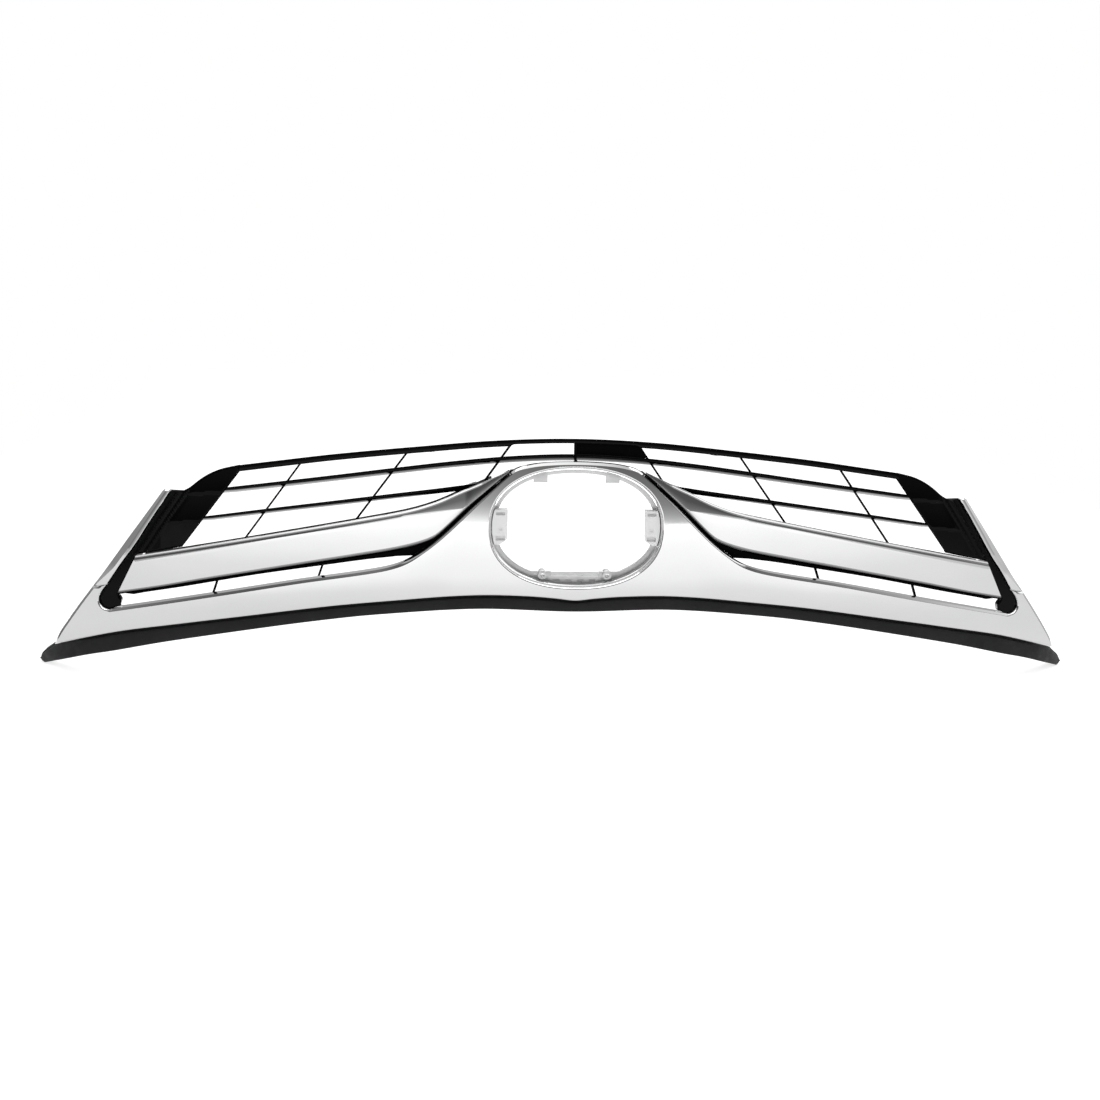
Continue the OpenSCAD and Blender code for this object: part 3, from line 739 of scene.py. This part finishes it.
def make_uprights():
    out_edge = smooth_path(UPRIGHT_OUT)
    in_edge = smooth_path(UPRIGHT_IN)
    share = np.linspace(0, 1, 60)
    outer, inner = along(out_edge, share), along(in_edge, share)
    outer[-1] += (-0.2, 0.3)
    inner[-1] += (-0.2, 0.3)
    rings = []
    for o, i, t in zip(outer, inner, share):
        width = np.linalg.norm(i - o)
        fade = ease(max(0.0, (t - 0.78) / 0.22))
        crease = width * (0.42 + 0.2 * min(1, 1.6 * t))
        crease = ROLL + (crease - ROLL) * (1 - fade)
        fall = 0.7 * crease + 1.6 * fade
        front = [(0, SURROUND_DEPTH), (0, fall + 0.8), (0.2, fall + 0.35), (0.6, fall),
                 (crease - 0.25, 0.3), (crease, 0.12), (crease + 0.3, 0.05), (width - 1.3, 0),
                 (width - 0.6, 0.15), (width - 0.15, 0.6), (width, 1.2), (width, SURROUND_DEPTH)]
        section = channel_section(front, width, SURROUND_DEPTH, UPRIGHT_WALL)
        rings.append(strip_ring(o, i, chrome_face, section))
    piece_pair("upright_trim", "upright", loft_mesh(rings), CHROME, 14)


# ---- Black lattice ----

def slat_section(height, depth):
    """A slat's closed profile: a face that leans back, over a long soft lower nose."""
    nose = 0.6 * height
    under = rolled_under(nose, 50, 14, 8)
    return np.array([
        (0.35 * height, depth), (0.6 * height, depth), (0.64 * height, depth - 0.6),
        (height - 0.05, 1.1), (height, 0.5), (height - 0.2, 0.2), (height - 0.5, 0.1),
        (nose + 0.4, 0), (nose + 0.1, 0.05), *under, (0.1, under[-1][1] + 0.8),
        (0.3 * height, depth - 0.6)])


def strip_between(top_points, low_points, face, section_of, stations):
    """Rings of a strip between two paths, station by station."""
    share = np.linspace(0, 1, stations)
    tops, lows = along(top_points, share), along(low_points, share)
    rings = []
    for top, low in zip(tops, lows):
        rings.append(strip_ring(low, top, face, section_of(np.linalg.norm(top - low))))
    return loft_mesh(rings)


# Heights at which each slat's upper and lower edges meet the cheek, both taken on its top curve
UPPER_SLAT_END = (31.4, 31)
MIDDLE_SLAT_END = (1.2, 1)
# The middle slat's inner end, and where the wedge over the carrier turns into its own lower edge
MIDDLE_SLAT_START, WEDGE_END = 99, 120


def cheek_edge(z):
    return CHEEK_CORNER[0] + (CHEEK_CORNER[1] - z) * CHEEK_LEAN


def both_ways(half):
    """A path across the whole width from its right half, which starts on the centre line."""
    return join_paths((half * (-1, 1))[::-1], half)


def make_upper_slat():
    top = both_ways(run(UPPER_SLAT_TOP, 0, cheek_edge(UPPER_SLAT_END[0])))
    low_end = UPPER_SLAT_END[1] - SLAT_H
    half_low = run(UPPER_SLAT_TOP, 0, 342, -SLAT_H)
    low = both_ways(join_paths(half_low, [(cheek_edge(low_end), low_end)]))
    points, faces = strip_between(top, low, lattice_face,
                                  lambda w: slat_section(w, SLAT_DEPTH), 220)
    nodes = ("upper_slat_centre", "upper_slat_left", "upper_slat_right")
    piece("upper_slat_blade", nodes, points, faces, GLOSS_BLACK, 40)


def carrier_back(x):
    return np.maximum(lattice_face(x) + CARRIER_PLATE, chrome_face(x) + CARRIER_DEPTH)


def hidden(x, z):
    """How much higher an edge at the carriers' back looks than the same edge at the chrome."""
    return (EYE_HEIGHT - z) / EYE_DISTANCE * (carrier_back(x) - chrome_face(x))


def carrier_top(x):
    z = curve(WING_TOP, x)
    return z + SHADOW_LINE - hidden(x, z)


def make_middle_slats():
    low_end = MIDDLE_SLAT_END[1] - MIDDLE_SLAT_H
    top_span = (MIDDLE_SLAT_START, cheek_edge(MIDDLE_SLAT_END[0]))
    low_span = (MIDDLE_SLAT_START, cheek_edge(low_end))
    top = run(MIDDLE_SLAT_TOP, *top_span)
    wedge_x = np.arange(MIDDLE_SLAT_START, WEDGE_END - 0.5, STEP)
    wedge = np.array([(x, carrier_top(x) + 0.1) for x in wedge_x])
    low = join_paths(wedge, run(MIDDLE_SLAT_TOP, WEDGE_END, 366, -MIDDLE_SLAT_H),
                     [(low_span[1], low_end)])
    share = np.linspace(0, 1, 130)
    top_x, low_x = between(top_span, share), between(low_span, share)
    rings = []
    for tx, lx in zip(top_x, low_x):
        tz = np.interp(tx, top[:, 0], top[:, 1])
        lz = min(np.interp(lx, low[:, 0], low[:, 1]), tz - 0.8)
        section = slat_section(math.hypot(tx - lx, tz - lz), SLAT_DEPTH)
        rings.append(strip_ring((lx, lz), (tx, tz), lattice_face, section))
    piece_pair("middle_slat_blade", "middle_slat", loft_mesh(rings), GLOSS_BLACK, 40)


def rail_section(height):
    d = RAIL_DEPTH
    return np.array([
        (0, d), (height - 2.2, d), (height - 0.1, 1.2), (height, 0.6), (height - 0.15, 0.25),
        (height - 0.5, 0.1), (0.5 * height, 0.02), (1.1, 0.02), (0.45, 0.15), (0.1, 0.5), (0, 1.1)])


def make_top_rail():
    half_top = run(RAIL_TOP, 0, 337)
    x = half_top[:, 0]
    growing = CENTRE_RAIL_H + (x - 62) / 4 * (RAIL_H - CENTRE_RAIL_H)
    thick = np.where(x < 62, CENTRE_RAIL_H, np.where(x < 66, growing, RAIL_H))
    half_low = np.stack([x, half_top[:, 1] - thick], 1)
    top, low = both_ways(half_top), both_ways(half_low)
    rings = [strip_ring(l, t, lattice_face, rail_section(np.linalg.norm(t - l)))
             for t, l in zip(top, low)]
    points, faces = merge(loft_mesh(rings), *on_both_sides([top_tab()]))
    piece("top_rail_bar", "top_rail", points, faces, GLOSS_BLACK, 36)


def rounded_plate(cx, cy, inner, outer, y0, y1, z0, z1, hole_r, corner=5.0, count=8):
    """A flat tab with rounded rear corners, a cut front corner and a hole, as (points, faces)."""
    turn = np.linspace(0, math.pi / 2, count)
    round_x = corner * (np.cos(turn) - 1)
    round_y = y1 - corner + corner * np.sin(turn)
    right = np.stack([cx + outer + round_x, round_y], 1)
    left = np.stack([cx - inner - round_x, round_y], 1)[::-1]
    outline = np.concatenate([[(cx + outer, y0)], right, left, [(cx - inner, y0 + corner)],
                              [(cx - inner + corner, y0)]])
    t = np.linspace(0, 2 * math.pi, 36, endpoint=False)
    hole = np.stack([cx + hole_r * np.cos(t), cy + hole_r * np.sin(t)], 1)
    flat, faces = fill([outline, hole])
    parts = [(np.column_stack([flat, np.full(len(flat), z)]), faces) for z in (z0, z1)]
    for loop in (outline, hole):
        lower = np.column_stack([loop, np.full(len(loop), z0)])
        upper = np.column_stack([loop, np.full(len(loop), z1)])
        parts.append(wall_between(lower, upper))
    return merge(*parts)


def top_tab():
    """The bolt tab behind the top rail, with a gusset on each side of the hole."""
    x, y, z = TAB_X, BOLT_LINE[1], BOLT_LINE[2]
    y0 = lattice_face(x) + RAIL_DEPTH - 0.5
    plate = rounded_plate(x, y, TAB_INNER, TAB_OUTER, y0, y + TAB_REACH, z - TAB_T, z, 4.0)
    gussets = []
    for gx in (x - TAB_INNER + 6, x + TAB_OUTER - 2):
        outline = [(y0 - 1, z - 0.2), (y0 + 8, z - 0.2), (y0 - 1, z + 2)]
        near = [(gx - 1, a, b) for a, b in outline]
        far = [(gx + 1, a, b) for a, b in outline]
        faces = [(0, 1, 2), (5, 4, 3), (0, 3, 4, 1), (1, 4, 5, 2), (2, 5, 3, 0)]
        gussets.append((np.array(near + far), faces))
    return merge(plate, *gussets)


LATTICE_RIBS = [((275, 58.4), (334, -23)), ((168, 72), (224, -4)), ((64, 82), (96, 36))]
SLOT_RIBS = [((361, -64), (369, -88)), ((252, -40), (261, -66))]
RIB_SECTION = [(-1.2, 5.0), (-1.2, 1.5), (-0.95, 1.15), (-0.5, 1.0), (0.5, 1.0), (0.95, 1.15),
               (1.2, 1.5), (1.2, 5.0)]


def slot_top(x):
    """The lower slot's upper edge at x, raised to where the usual view shows it at the slats' depth."""
    z = curve(SLOT_TOP, x)
    behind = lattice_face(x) - chrome_face(x) - WING_DEPTH
    return z + (EYE_HEIGHT - z) / EYE_DISTANCE * behind


def arm_top(x):
    z = curve(SURROUND_TOP, x)
    return z - 1 - hidden(x, z)


def rib_between(top, low, is_open):
    """A fin along the part of a line that is in the open, as (points, faces)."""
    share = np.linspace(0, 1, 400)[:, None]
    spots = np.array(top) * (1 - share) + np.array(low) * share
    spots = spots[is_open(spots[:, 0], spots[:, 1])]
    rings = []
    for x, z in (spots[0], spots[-1]):
        rings.append([(x + dx, float(lattice_face(x + dx)) + dy, z) for dx, dy in RIB_SECTION])
    return loft_mesh(rings)


def make_ribs():
    """The upper ribs run on through the slats' hollow undersides, down to the wing's channel."""
    fins = []
    for top, low in LATTICE_RIBS:
        fins.append(rib_between(top, low, lambda x, z: (z > carrier_top(x))
                                & (z < curve(RAIL_TOP, x) - np.where(x < 66, 5.2, 6.2))))
    for top, low in SLOT_RIBS:
        fins.append(rib_between(top, low, lambda x, z: (z < slot_top(x)) & (z > arm_top(x))))
    piece_pair("rib_set", "ribs", merge(*fins), SATIN_BLACK, 25)


# ---- Cheeks ----

def cheek_outline():
    parts = [run(CHEEK_TOP, CHEEK_CORNER[0], 394), smooth_path(UPRIGHT_IN), smooth_path(CORNER_IN)[::-1],
             smooth_path(SLOT_END), [(466.2, -85), (444.2, -41.6)],
             run(WING_TOP, 396.4, 438, 0.2)[::-1], [CHEEK_CORNER]]
    return join_paths(*[np.asarray(p, float) for p in parts])


def ridge(distance, width, height):
    """A low round ridge across a line."""
    return -height * np.exp(-(distance / width) ** 2)


def cheek_height(x, z, gaps):
    ax = np.abs(x)
    outer_x = np.interp(-z, [-p[1] for p in UPRIGHT_IN], [p[0] for p in UPRIGHT_IN])
    from_upright = (outer_x - ax) * 0.83
    lean = 0.03 * (z + 40)
    lips = ridge(from_upright - 7.5, 1.0, 0.9) + ridge(from_upright - 13.5, 0.9, 0.8)
    near_slats = np.clip((from_upright - 15) / 4, 0, 1)
    lines = 0
    for points, end in ((UPPER_SLAT_TOP, 354), (MIDDLE_SLAT_TOP, 376)):
        slope = (points[-1][1] - points[-2][1]) / (points[-1][0] - points[-2][0])
        line_z = points[-1][1] + slope * (ax - end) * 0.6 - 3.2
        rise = ease(np.clip((z - line_z + 3) / 3, 0, 1))
        lines = lines - 1.5 * rise * np.exp(-np.maximum(z - line_z, 0) / 10)
    return (cheek_face(x) + np.maximum(lean, -1) + lips * (z > -44) + lines * near_slats
            + roll_depth(gaps[0], 0.8))


def cheek_back(x):
    return np.maximum(lattice_face(x) + CHEEK_T, chrome_face(x) + CHEEK_BACK)


def make_cheeks():
    outline = cheek_outline()
    for side, sign in SIDES:
        loop = outline if sign > 0 else (outline * (-1, 1))[::-1]
        wall = np.array([(440.6, -44), (450, -44), (472, -87), (461, -85)], float)
        wall[:, 0] *= sign
        front = at_depth(wall, chrome_face(wall[:, 0]) + 12.1)
        rear = at_depth(wall, carrier_back(wall[:, 0]))
        points, faces = wall_between(front, rear)
        faces = faces + [(3, 2, 1, 0), (4, 5, 6, 7)]
        pressed(f"cheek_plate_{side}", f"cheek_{side}", GLOSS_BLACK, [loop],
                cheek_height, cheek_back, [0.3, 0.8], 1.6, extra=[(points, faces)])


# ---- Lower strip ----

def strip_section(height):
    d = STRIP_DEPTH
    h = height
    round_low = [(3.2 - 3.2 * math.cos(t), 3.6 - 3.6 * math.sin(t)) for t in np.linspace(0.1, 1.5, 6)]
    return np.array([
        (0.6, d), (h - 0.4, d), (h, d - 0.6), (h, 5.0), (h - 1.7, 4.6), (h - 2.0, 1.2),
        (h - 2.6, 0.4), (h - 3.6, 0.05), (0.45 * h, 0.0), *round_low[::-1], (0, 5), (0, d - 0.8)])


def make_lower_strip():
    tip = smooth_path(STRIP_TIP, 1.0)
    nose = np.argmax(tip[:, 0])
    low_half = join_paths(run(STRIP_LOW, 0, 553), tip[:nose + 1])
    top_half = join_paths(run(SURROUND_LOW, 0, 537), tip[nose:][::-1])
    share = np.concatenate([np.linspace(0, 0.97, 190), np.linspace(0.972, 0.9995, 22)])
    lows, tops = along(low_half, share), along(top_half, share)
    tops = tops + (0, -0.05)
    lows, tops = both_ways(lows), both_ways(tops)
    rings = []
    for low, top in zip(lows, tops):
        width = np.linalg.norm(top - low)
        section = strip_section(max(width, 4.5)) * (min(1, width / 4.5), 1)
        rings.append(strip_ring(low, top, strip_face, section))
    points, faces = loft_mesh(rings)
    piece("lower_strip_bar", "lower_strip", points, faces, MATT_BLACK, 40)


# ---- CAD nodes that stay, with their own finish ----

def dress(node, material, width=0.35, segments=2):
    """Gives a CAD node its material and small rounded edges."""
    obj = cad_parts[node]
    obj.data.materials.clear()
    obj.data.materials.append(material)
    obj.data.shade_smooth()
    obj.data.set_sharp_from_angle(angle=math.radians(30))
    weld = obj.modifiers.new("weld", "WELD")
    weld.merge_threshold = 2e-6
    soften = obj.modifiers.new("soften", "BEVEL")
    soften.width = width / 1000
    soften.segments = segments
    soften.limit_method = "ANGLE"
    soften.angle_limit = math.radians(40)
    soften.harden_normals = False


def make_centre_blank():
    """The plate that closes the cell beside the post; its edges run in behind rail, rib and slat."""
    top = run(RAIL_TOP, 1.4, 60, 0.8 - CENTRE_RAIL_H)
    low = run(UPPER_SLAT_TOP, 1.4, 70, -1.0)[::-1]
    outline = join_paths(top, [(65.2, 80.2), (72.6, 69.2)], low)
    pressed("centre_blank_plate", "centre_blank", SATIN_BLACK, [outline],
            lambda x, z, gaps: lattice_face(x) + 1.2 + roll_depth(gaps[0], 0.3),
            lambda x: lattice_face(x) + 1 + CHEEK_T, [0.3], 4.0)


def dress_cad_nodes():
    for side, _ in SIDES:
        for node in ("wing_carrier", "arm_carrier", "side_bracket"):
            dress(f"{node}_{side}", SATIN_BLACK)
    for node in ("hub_carrier", "centre_post"):
        dress(node, SATIN_BLACK)
    dress("badge_seat", SEAT_SILVER, 0.5, 3)
    for node in ("badge_clip_left", "badge_clip_right"):
        dress(node, SILVER, 0.5, 3)


# ---- Fixings ----

def screw_mesh(spot, y):
    """A pan-head screw with a flange and a ringed shank; its head looks to the rear."""
    shank = [(0.2, y - 9), (1.3, y - 8)]
    for k in range(6):
        shank += [(1.9, y - 7.4 + k), (1.45, y - 6.95 + k)]
    head = [(1.9, y - 0.5), (1.9, y + 1.6), (4.2, y + 1.6), (4.2, y + 2.2), (3.2, y + 2.4),
            (3.1, y + 3.3), (2.5, y + 3.9), (1.4, y + 4.0), (1.3, y + 3.0), (0.2, y + 2.8)]
    return lathe(shank + head, (spot[0], 0, spot[1]), "Y", 24)


def make_screws():
    screws = [screw_mesh((x, z), chrome_back(x) + FIXING_SETBACK) for x, z in SCREW_SPOTS]
    points, faces = merge(*on_both_sides(screws))
    piece("moulding_screw_set", "moulding_screws", points, faces, ZINC, 30)


def push_nut_mesh(spot, y, teeth=8):
    """A sprung washer: a dished rim and a crown of teeth that bite the stud."""
    t = np.linspace(0, 2 * math.pi, teeth * 6, endpoint=False)
    bite = 2.52 + 0.9 * (np.mod(np.arange(len(t)), 6) == 0)
    rings = []
    for radius, way in ((6.0, 1.8), (6.0, 2.2), (4.4, 2.5), (bite, 3.2), (bite, 2.9), (4.3, 2.1)):
        r = np.broadcast_to(radius, t.shape)
        rings.append(np.stack([spot[0] + r * np.cos(t), np.full(len(t), y + way),
                               spot[1] + r * np.sin(t)], 1))
    points = np.concatenate(rings)
    n, k = len(t), len(rings)
    faces = [(i * n + j, i * n + (j + 1) % n, ((i + 1) % k) * n + (j + 1) % n, ((i + 1) % k) * n + j)
             for i in range(k) for j in range(n)]
    return points, faces


def make_push_nuts():
    nuts = [push_nut_mesh((x, z), chrome_face(x) + WING_DEPTH + FIXING_SETBACK)
            for x, z in STUD_SPOTS]
    points, faces = merge(*on_both_sides(nuts))
    piece("wing_push_nut_set", "wing_push_nuts", points, faces, ZINC, 25)


def make_strip_clips():
    """Each clip is a ribbed nylon pin under a domed head."""
    clips = []
    for x in CLIP_PLACES:
        spot = (x, chrome_back(x) + CLIP_SETBACK, float(curve(SURROUND_LOW, x)))
        profile = [(0.3, -5.8), (1.2, -5.4)]
        for k in range(5):
            profile += [(2.4, -3.6 + k * 2.2), (1.7, -2.9 + k * 2.2)]
        profile += [(1.9, 8.6), (3.0, 8.6), (3.0, 9.4), (2.4, 10.0), (0.4, 10.2)]
        clips.append(lathe(profile, spot, "Z", 24))
    points, faces = merge(*on_both_sides(clips))
    piece("strip_clip_set", "strip_clips", points, faces, NYLON, 30)


# ---- Studio ----

HUB_CENTRE = Vector(to_frame([0, 0, 0]))
CAMERA_DISTANCE = 1.6
CAMERA_AZIMUTH = math.radians(-4.58)
CAMERA_ELEVATION = math.radians(10)
CAMERA_ROLL = math.radians(1.3135)
CAMERA_LENS = 52.697
CAMERA_SHIFT = (-0.0241, -0.01746)


def make_camera():
    ca, sa = math.cos(CAMERA_AZIMUTH), math.sin(CAMERA_AZIMUTH)
    ce, se = math.cos(CAMERA_ELEVATION), math.sin(CAMERA_ELEVATION)
    back = Vector((sa * ce, -ca * ce, se))
    right = Vector((ca, sa, 0))
    up = right.cross(-back)
    cr, sr = math.cos(CAMERA_ROLL), math.sin(CAMERA_ROLL)
    x_axis, y_axis = cr * right + sr * up, cr * up - sr * right
    data = bpy.data.cameras.new("camera")
    data.sensor_width = 36
    data.lens = CAMERA_LENS
    data.shift_x, data.shift_y = CAMERA_SHIFT
    camera = add_object("camera", data)
    spot = HUB_CENTRE + back * CAMERA_DISTANCE
    turn = Matrix((x_axis, y_axis, back)).transposed().to_4x4()
    camera.matrix_world = Matrix.Translation(spot) @ turn
    bpy.context.scene.camera = camera


def math_node(nodes, links, operation, a, b=None, clamp=False):
    node = nodes.new("ShaderNodeMath")
    node.operation = operation
    node.use_clamp = clamp
    for socket, value in zip(node.inputs, (a, b)):
        if value is None:
            continue
        if isinstance(value, (int, float)):
            socket.default_value = value
        else:
            links.new(value, socket)
    return node.outputs[0]


def light_ramp(nodes, links, value, stops, full):
    """A grey ramp of brightness stops, each divided by the full brightness."""
    ramp = nodes.new("ShaderNodeValToRGB")
    elements = ramp.color_ramp.elements
    while len(elements) < len(stops):
        elements.new(0.5)
    for element, (place, light) in zip(elements, stops):
        element.position = place
        element.color = (light / full, light / full, light / full, 1)
    links.new(value, ramp.inputs["Fac"])
    return ramp.outputs["Color"]


FLOOR_HALF_WIDTH = 1.05
FLOOR_FRONT = -1.42
FLOOR_BACK_LIGHT = 2.8
# The sheet's even brightness as the camera sees it; its grading shows only in reflections
FLOOR_SEEN = 0.75
# How strongly the sheet is lit from below in front of the grille, by Y
FLOOR_GLOW = [(-1.42, 0.84), (-1.1, 0.82), (-0.9, 0.68), (-0.65, 0.56), (-0.5, 0.42),
              (-0.28, 0.34), (0.0, 0.34)]


def make_floor():
    """A softly lit white acrylic sheet; it ends in front of the grille and runs far behind it."""
    z = CAD_BOX[0].z - 0.0002
    mesh = bpy.data.meshes.new("floor")
    w = FLOOR_HALF_WIDTH
    mesh.from_pydata([(-w, FLOOR_FRONT, z), (w, FLOOR_FRONT, z), (w, 4, z), (-w, 4, z)], [],
                     [(0, 1, 2, 3)])
    floor = add_object("floor", mesh)
    material, nodes, links, shader, where = node_material("pale_acrylic")
    shader.inputs["Roughness"].default_value = 0.9
    shader.inputs["Specular IOR Level"].default_value = 0.1
    blend_colour(nodes, links, noise(nodes, links, where, 3.0, 2.0), (0.42, 0.42, 0.42),
                 (0.44, 0.44, 0.44), shader)
    shader.inputs["Emission Color"].default_value = (1, 1, 1, 1)
    way = nodes.new("ShaderNodeSeparateXYZ")
    links.new(where, way.inputs[0])
    share = math_node(nodes, links, "SUBTRACT", way.outputs["Y"], FLOOR_FRONT)
    share = math_node(nodes, links, "DIVIDE", share, -FLOOR_FRONT, clamp=True)
    ramp = light_ramp(nodes, links, share, [(1 - y / FLOOR_FRONT, g) for y, g in FLOOR_GLOW], 1)
    behind = map_range(nodes, links, way.outputs["Y"], (0.04, 0.16), (0, FLOOR_BACK_LIGHT))
    off_centre = math_node(nodes, links, "ABSOLUTE", way.outputs["X"])
    inner = map_range(nodes, links, off_centre, (0.72, 0.5))
    strong = math_node(nodes, links, "MULTIPLY", behind, inner)
    glow = math_node(nodes, links, "ADD", ramp, strong)
    direct = nodes.new("ShaderNodeLightPath").outputs["Is Camera Ray"]
    even = nodes.new("ShaderNodeMix")
    links.new(direct, even.inputs["Factor"])
    links.new(glow, even.inputs["A"])
    even.inputs["B"].default_value = FLOOR_SEEN
    links.new(even.outputs["Result"], shader.inputs["Emission Strength"])
    mesh.materials.append(material)


# Relative brightness of the studio in front of the grille, by the sine of the angle above the
# horizon. A ramp's colours stop at 1, so its stops are divided by BRIGHTEST.
BRIGHTEST = 1.5
FRONT_WALL = [(-1.0, 1.15), (-0.125, 1.15), (-0.085, 0.72), (-0.04, 0.46), (0.06, 0.3),
              (0.2, 0.17), (0.45, 0.14), (0.6, 0.45), (0.8, 1.3), (1.0, 1.5)]
# How that brightness changes from left to right
WALL_ACROSS = [(-1.0, 0.6), (-0.5, 0.6), (-0.3, 1.5), (-0.12, 1.5), (0.28, 0.9), (1.0, 0.9)]


def make_world():
    """White to the camera. In reflections it is white with a darker room in front of the grille."""
    world = bpy.data.worlds.new("studio")
    bpy.context.scene.world = world
    world.use_nodes = True
    nodes, links = world.node_tree.nodes, world.node_tree.links
    nodes.clear()
    way = nodes.new("ShaderNodeSeparateXYZ")
    links.new(nodes.new("ShaderNodeTexCoord").outputs["Generated"], way.inputs[0])
    height = math_node(nodes, links, "MULTIPLY", way.outputs["Z"], 0.5)
    height = math_node(nodes, links, "ADD", height, 0.5)
    ramp = light_ramp(nodes, links, height, [(0.5 * (s + 1), g) for s, g in FRONT_WALL],
                      BRIGHTEST)
    front = math_node(nodes, links, "MULTIPLY", way.outputs["Y"], -2.2)
    front = math_node(nodes, links, "SUBTRACT", front, 0.25, clamp=True)
    across = math_node(nodes, links, "MULTIPLY", way.outputs["X"], 0.5)
    across = math_node(nodes, links, "ADD", across, 0.5)
    dimmer = light_ramp(nodes, links, across, [(0.5 * (x + 1), g) for x, g in WALL_ACROSS],
                        BRIGHTEST)
    tone = math_node(nodes, links, "MULTIPLY", dimmer, BRIGHTEST)
    wall = nodes.new("ShaderNodeBackground")
    links.new(tone, wall.inputs["Strength"])
    links.new(ramp, wall.inputs["Color"])
    white = nodes.new("ShaderNodeBackground")
    white.inputs["Color"].default_value = (1, 1, 1, 1)
    above = map_range(nodes, links, way.outputs["Z"], (0.05, 0.4), (0.32, 1.0))
    sides = map_range(nodes, links, way.outputs["X"], (-0.9, 0.9), (0.5, 1.5))
    strength = math_node(nodes, links, "MULTIPLY", above, sides)
    links.new(strength, white.inputs["Strength"])
    backdrop = nodes.new("ShaderNodeBackground")
    backdrop.inputs["Color"].default_value = (1, 1, 1, 1)
    backdrop.inputs["Strength"].default_value = 1.0
    room = nodes.new("ShaderNodeMixShader")
    links.new(front, room.inputs[0])
    links.new(white.outputs[0], room.inputs[1])
    links.new(wall.outputs[0], room.inputs[2])
    seen = nodes.new("ShaderNodeMixShader")
    links.new(nodes.new("ShaderNodeLightPath").outputs["Is Camera Ray"], seen.inputs[0])
    links.new(room.outputs[0], seen.inputs[1])
    links.new(backdrop.outputs[0], seen.inputs[2])
    out = nodes.new("ShaderNodeOutputWorld")
    links.new(seen.outputs[0], out.inputs["Surface"])


def area_light(name, spot, aim, size, power):
    data = bpy.data.lights.new(name, "AREA")
    data.shape = "RECTANGLE"
    data.size, data.size_y = size
    data.energy = power
    light = add_object(name, data)
    light.location = spot
    light.rotation_euler = (Vector(aim) - Vector(spot)).to_track_quat("-Z", "Y").to_euler()
    light.visible_camera = False
    return light


def make_lights():
    area_light("ceiling_softbox", (0, -0.2, 2.4), (0, 0, 0), (3.2, 1.8), 30)
    area_light("rear_softbox", (0, 2.6, 1.6), (0, 0, -0.1), (3.0, 1.2), 12)
    fill = area_light("front_fill", (-0.15, -2.1, 0.3), HUB_CENTRE, (0.5, 0.5), 9)
    fill.visible_glossy = False


def main():
    bpy.context.scene.view_settings.view_transform = "Standard"
    make_camera()
    make_surround()
    make_wings()
    make_uprights()
    make_top_rail()
    make_upper_slat()
    make_middle_slats()
    make_ribs()
    make_centre_blank()
    make_cheeks()
    make_lower_strip()
    dress_cad_nodes()
    make_screws()
    make_push_nuts()
    make_strip_clips()
    make_world()
    make_floor()
    make_lights()


main()
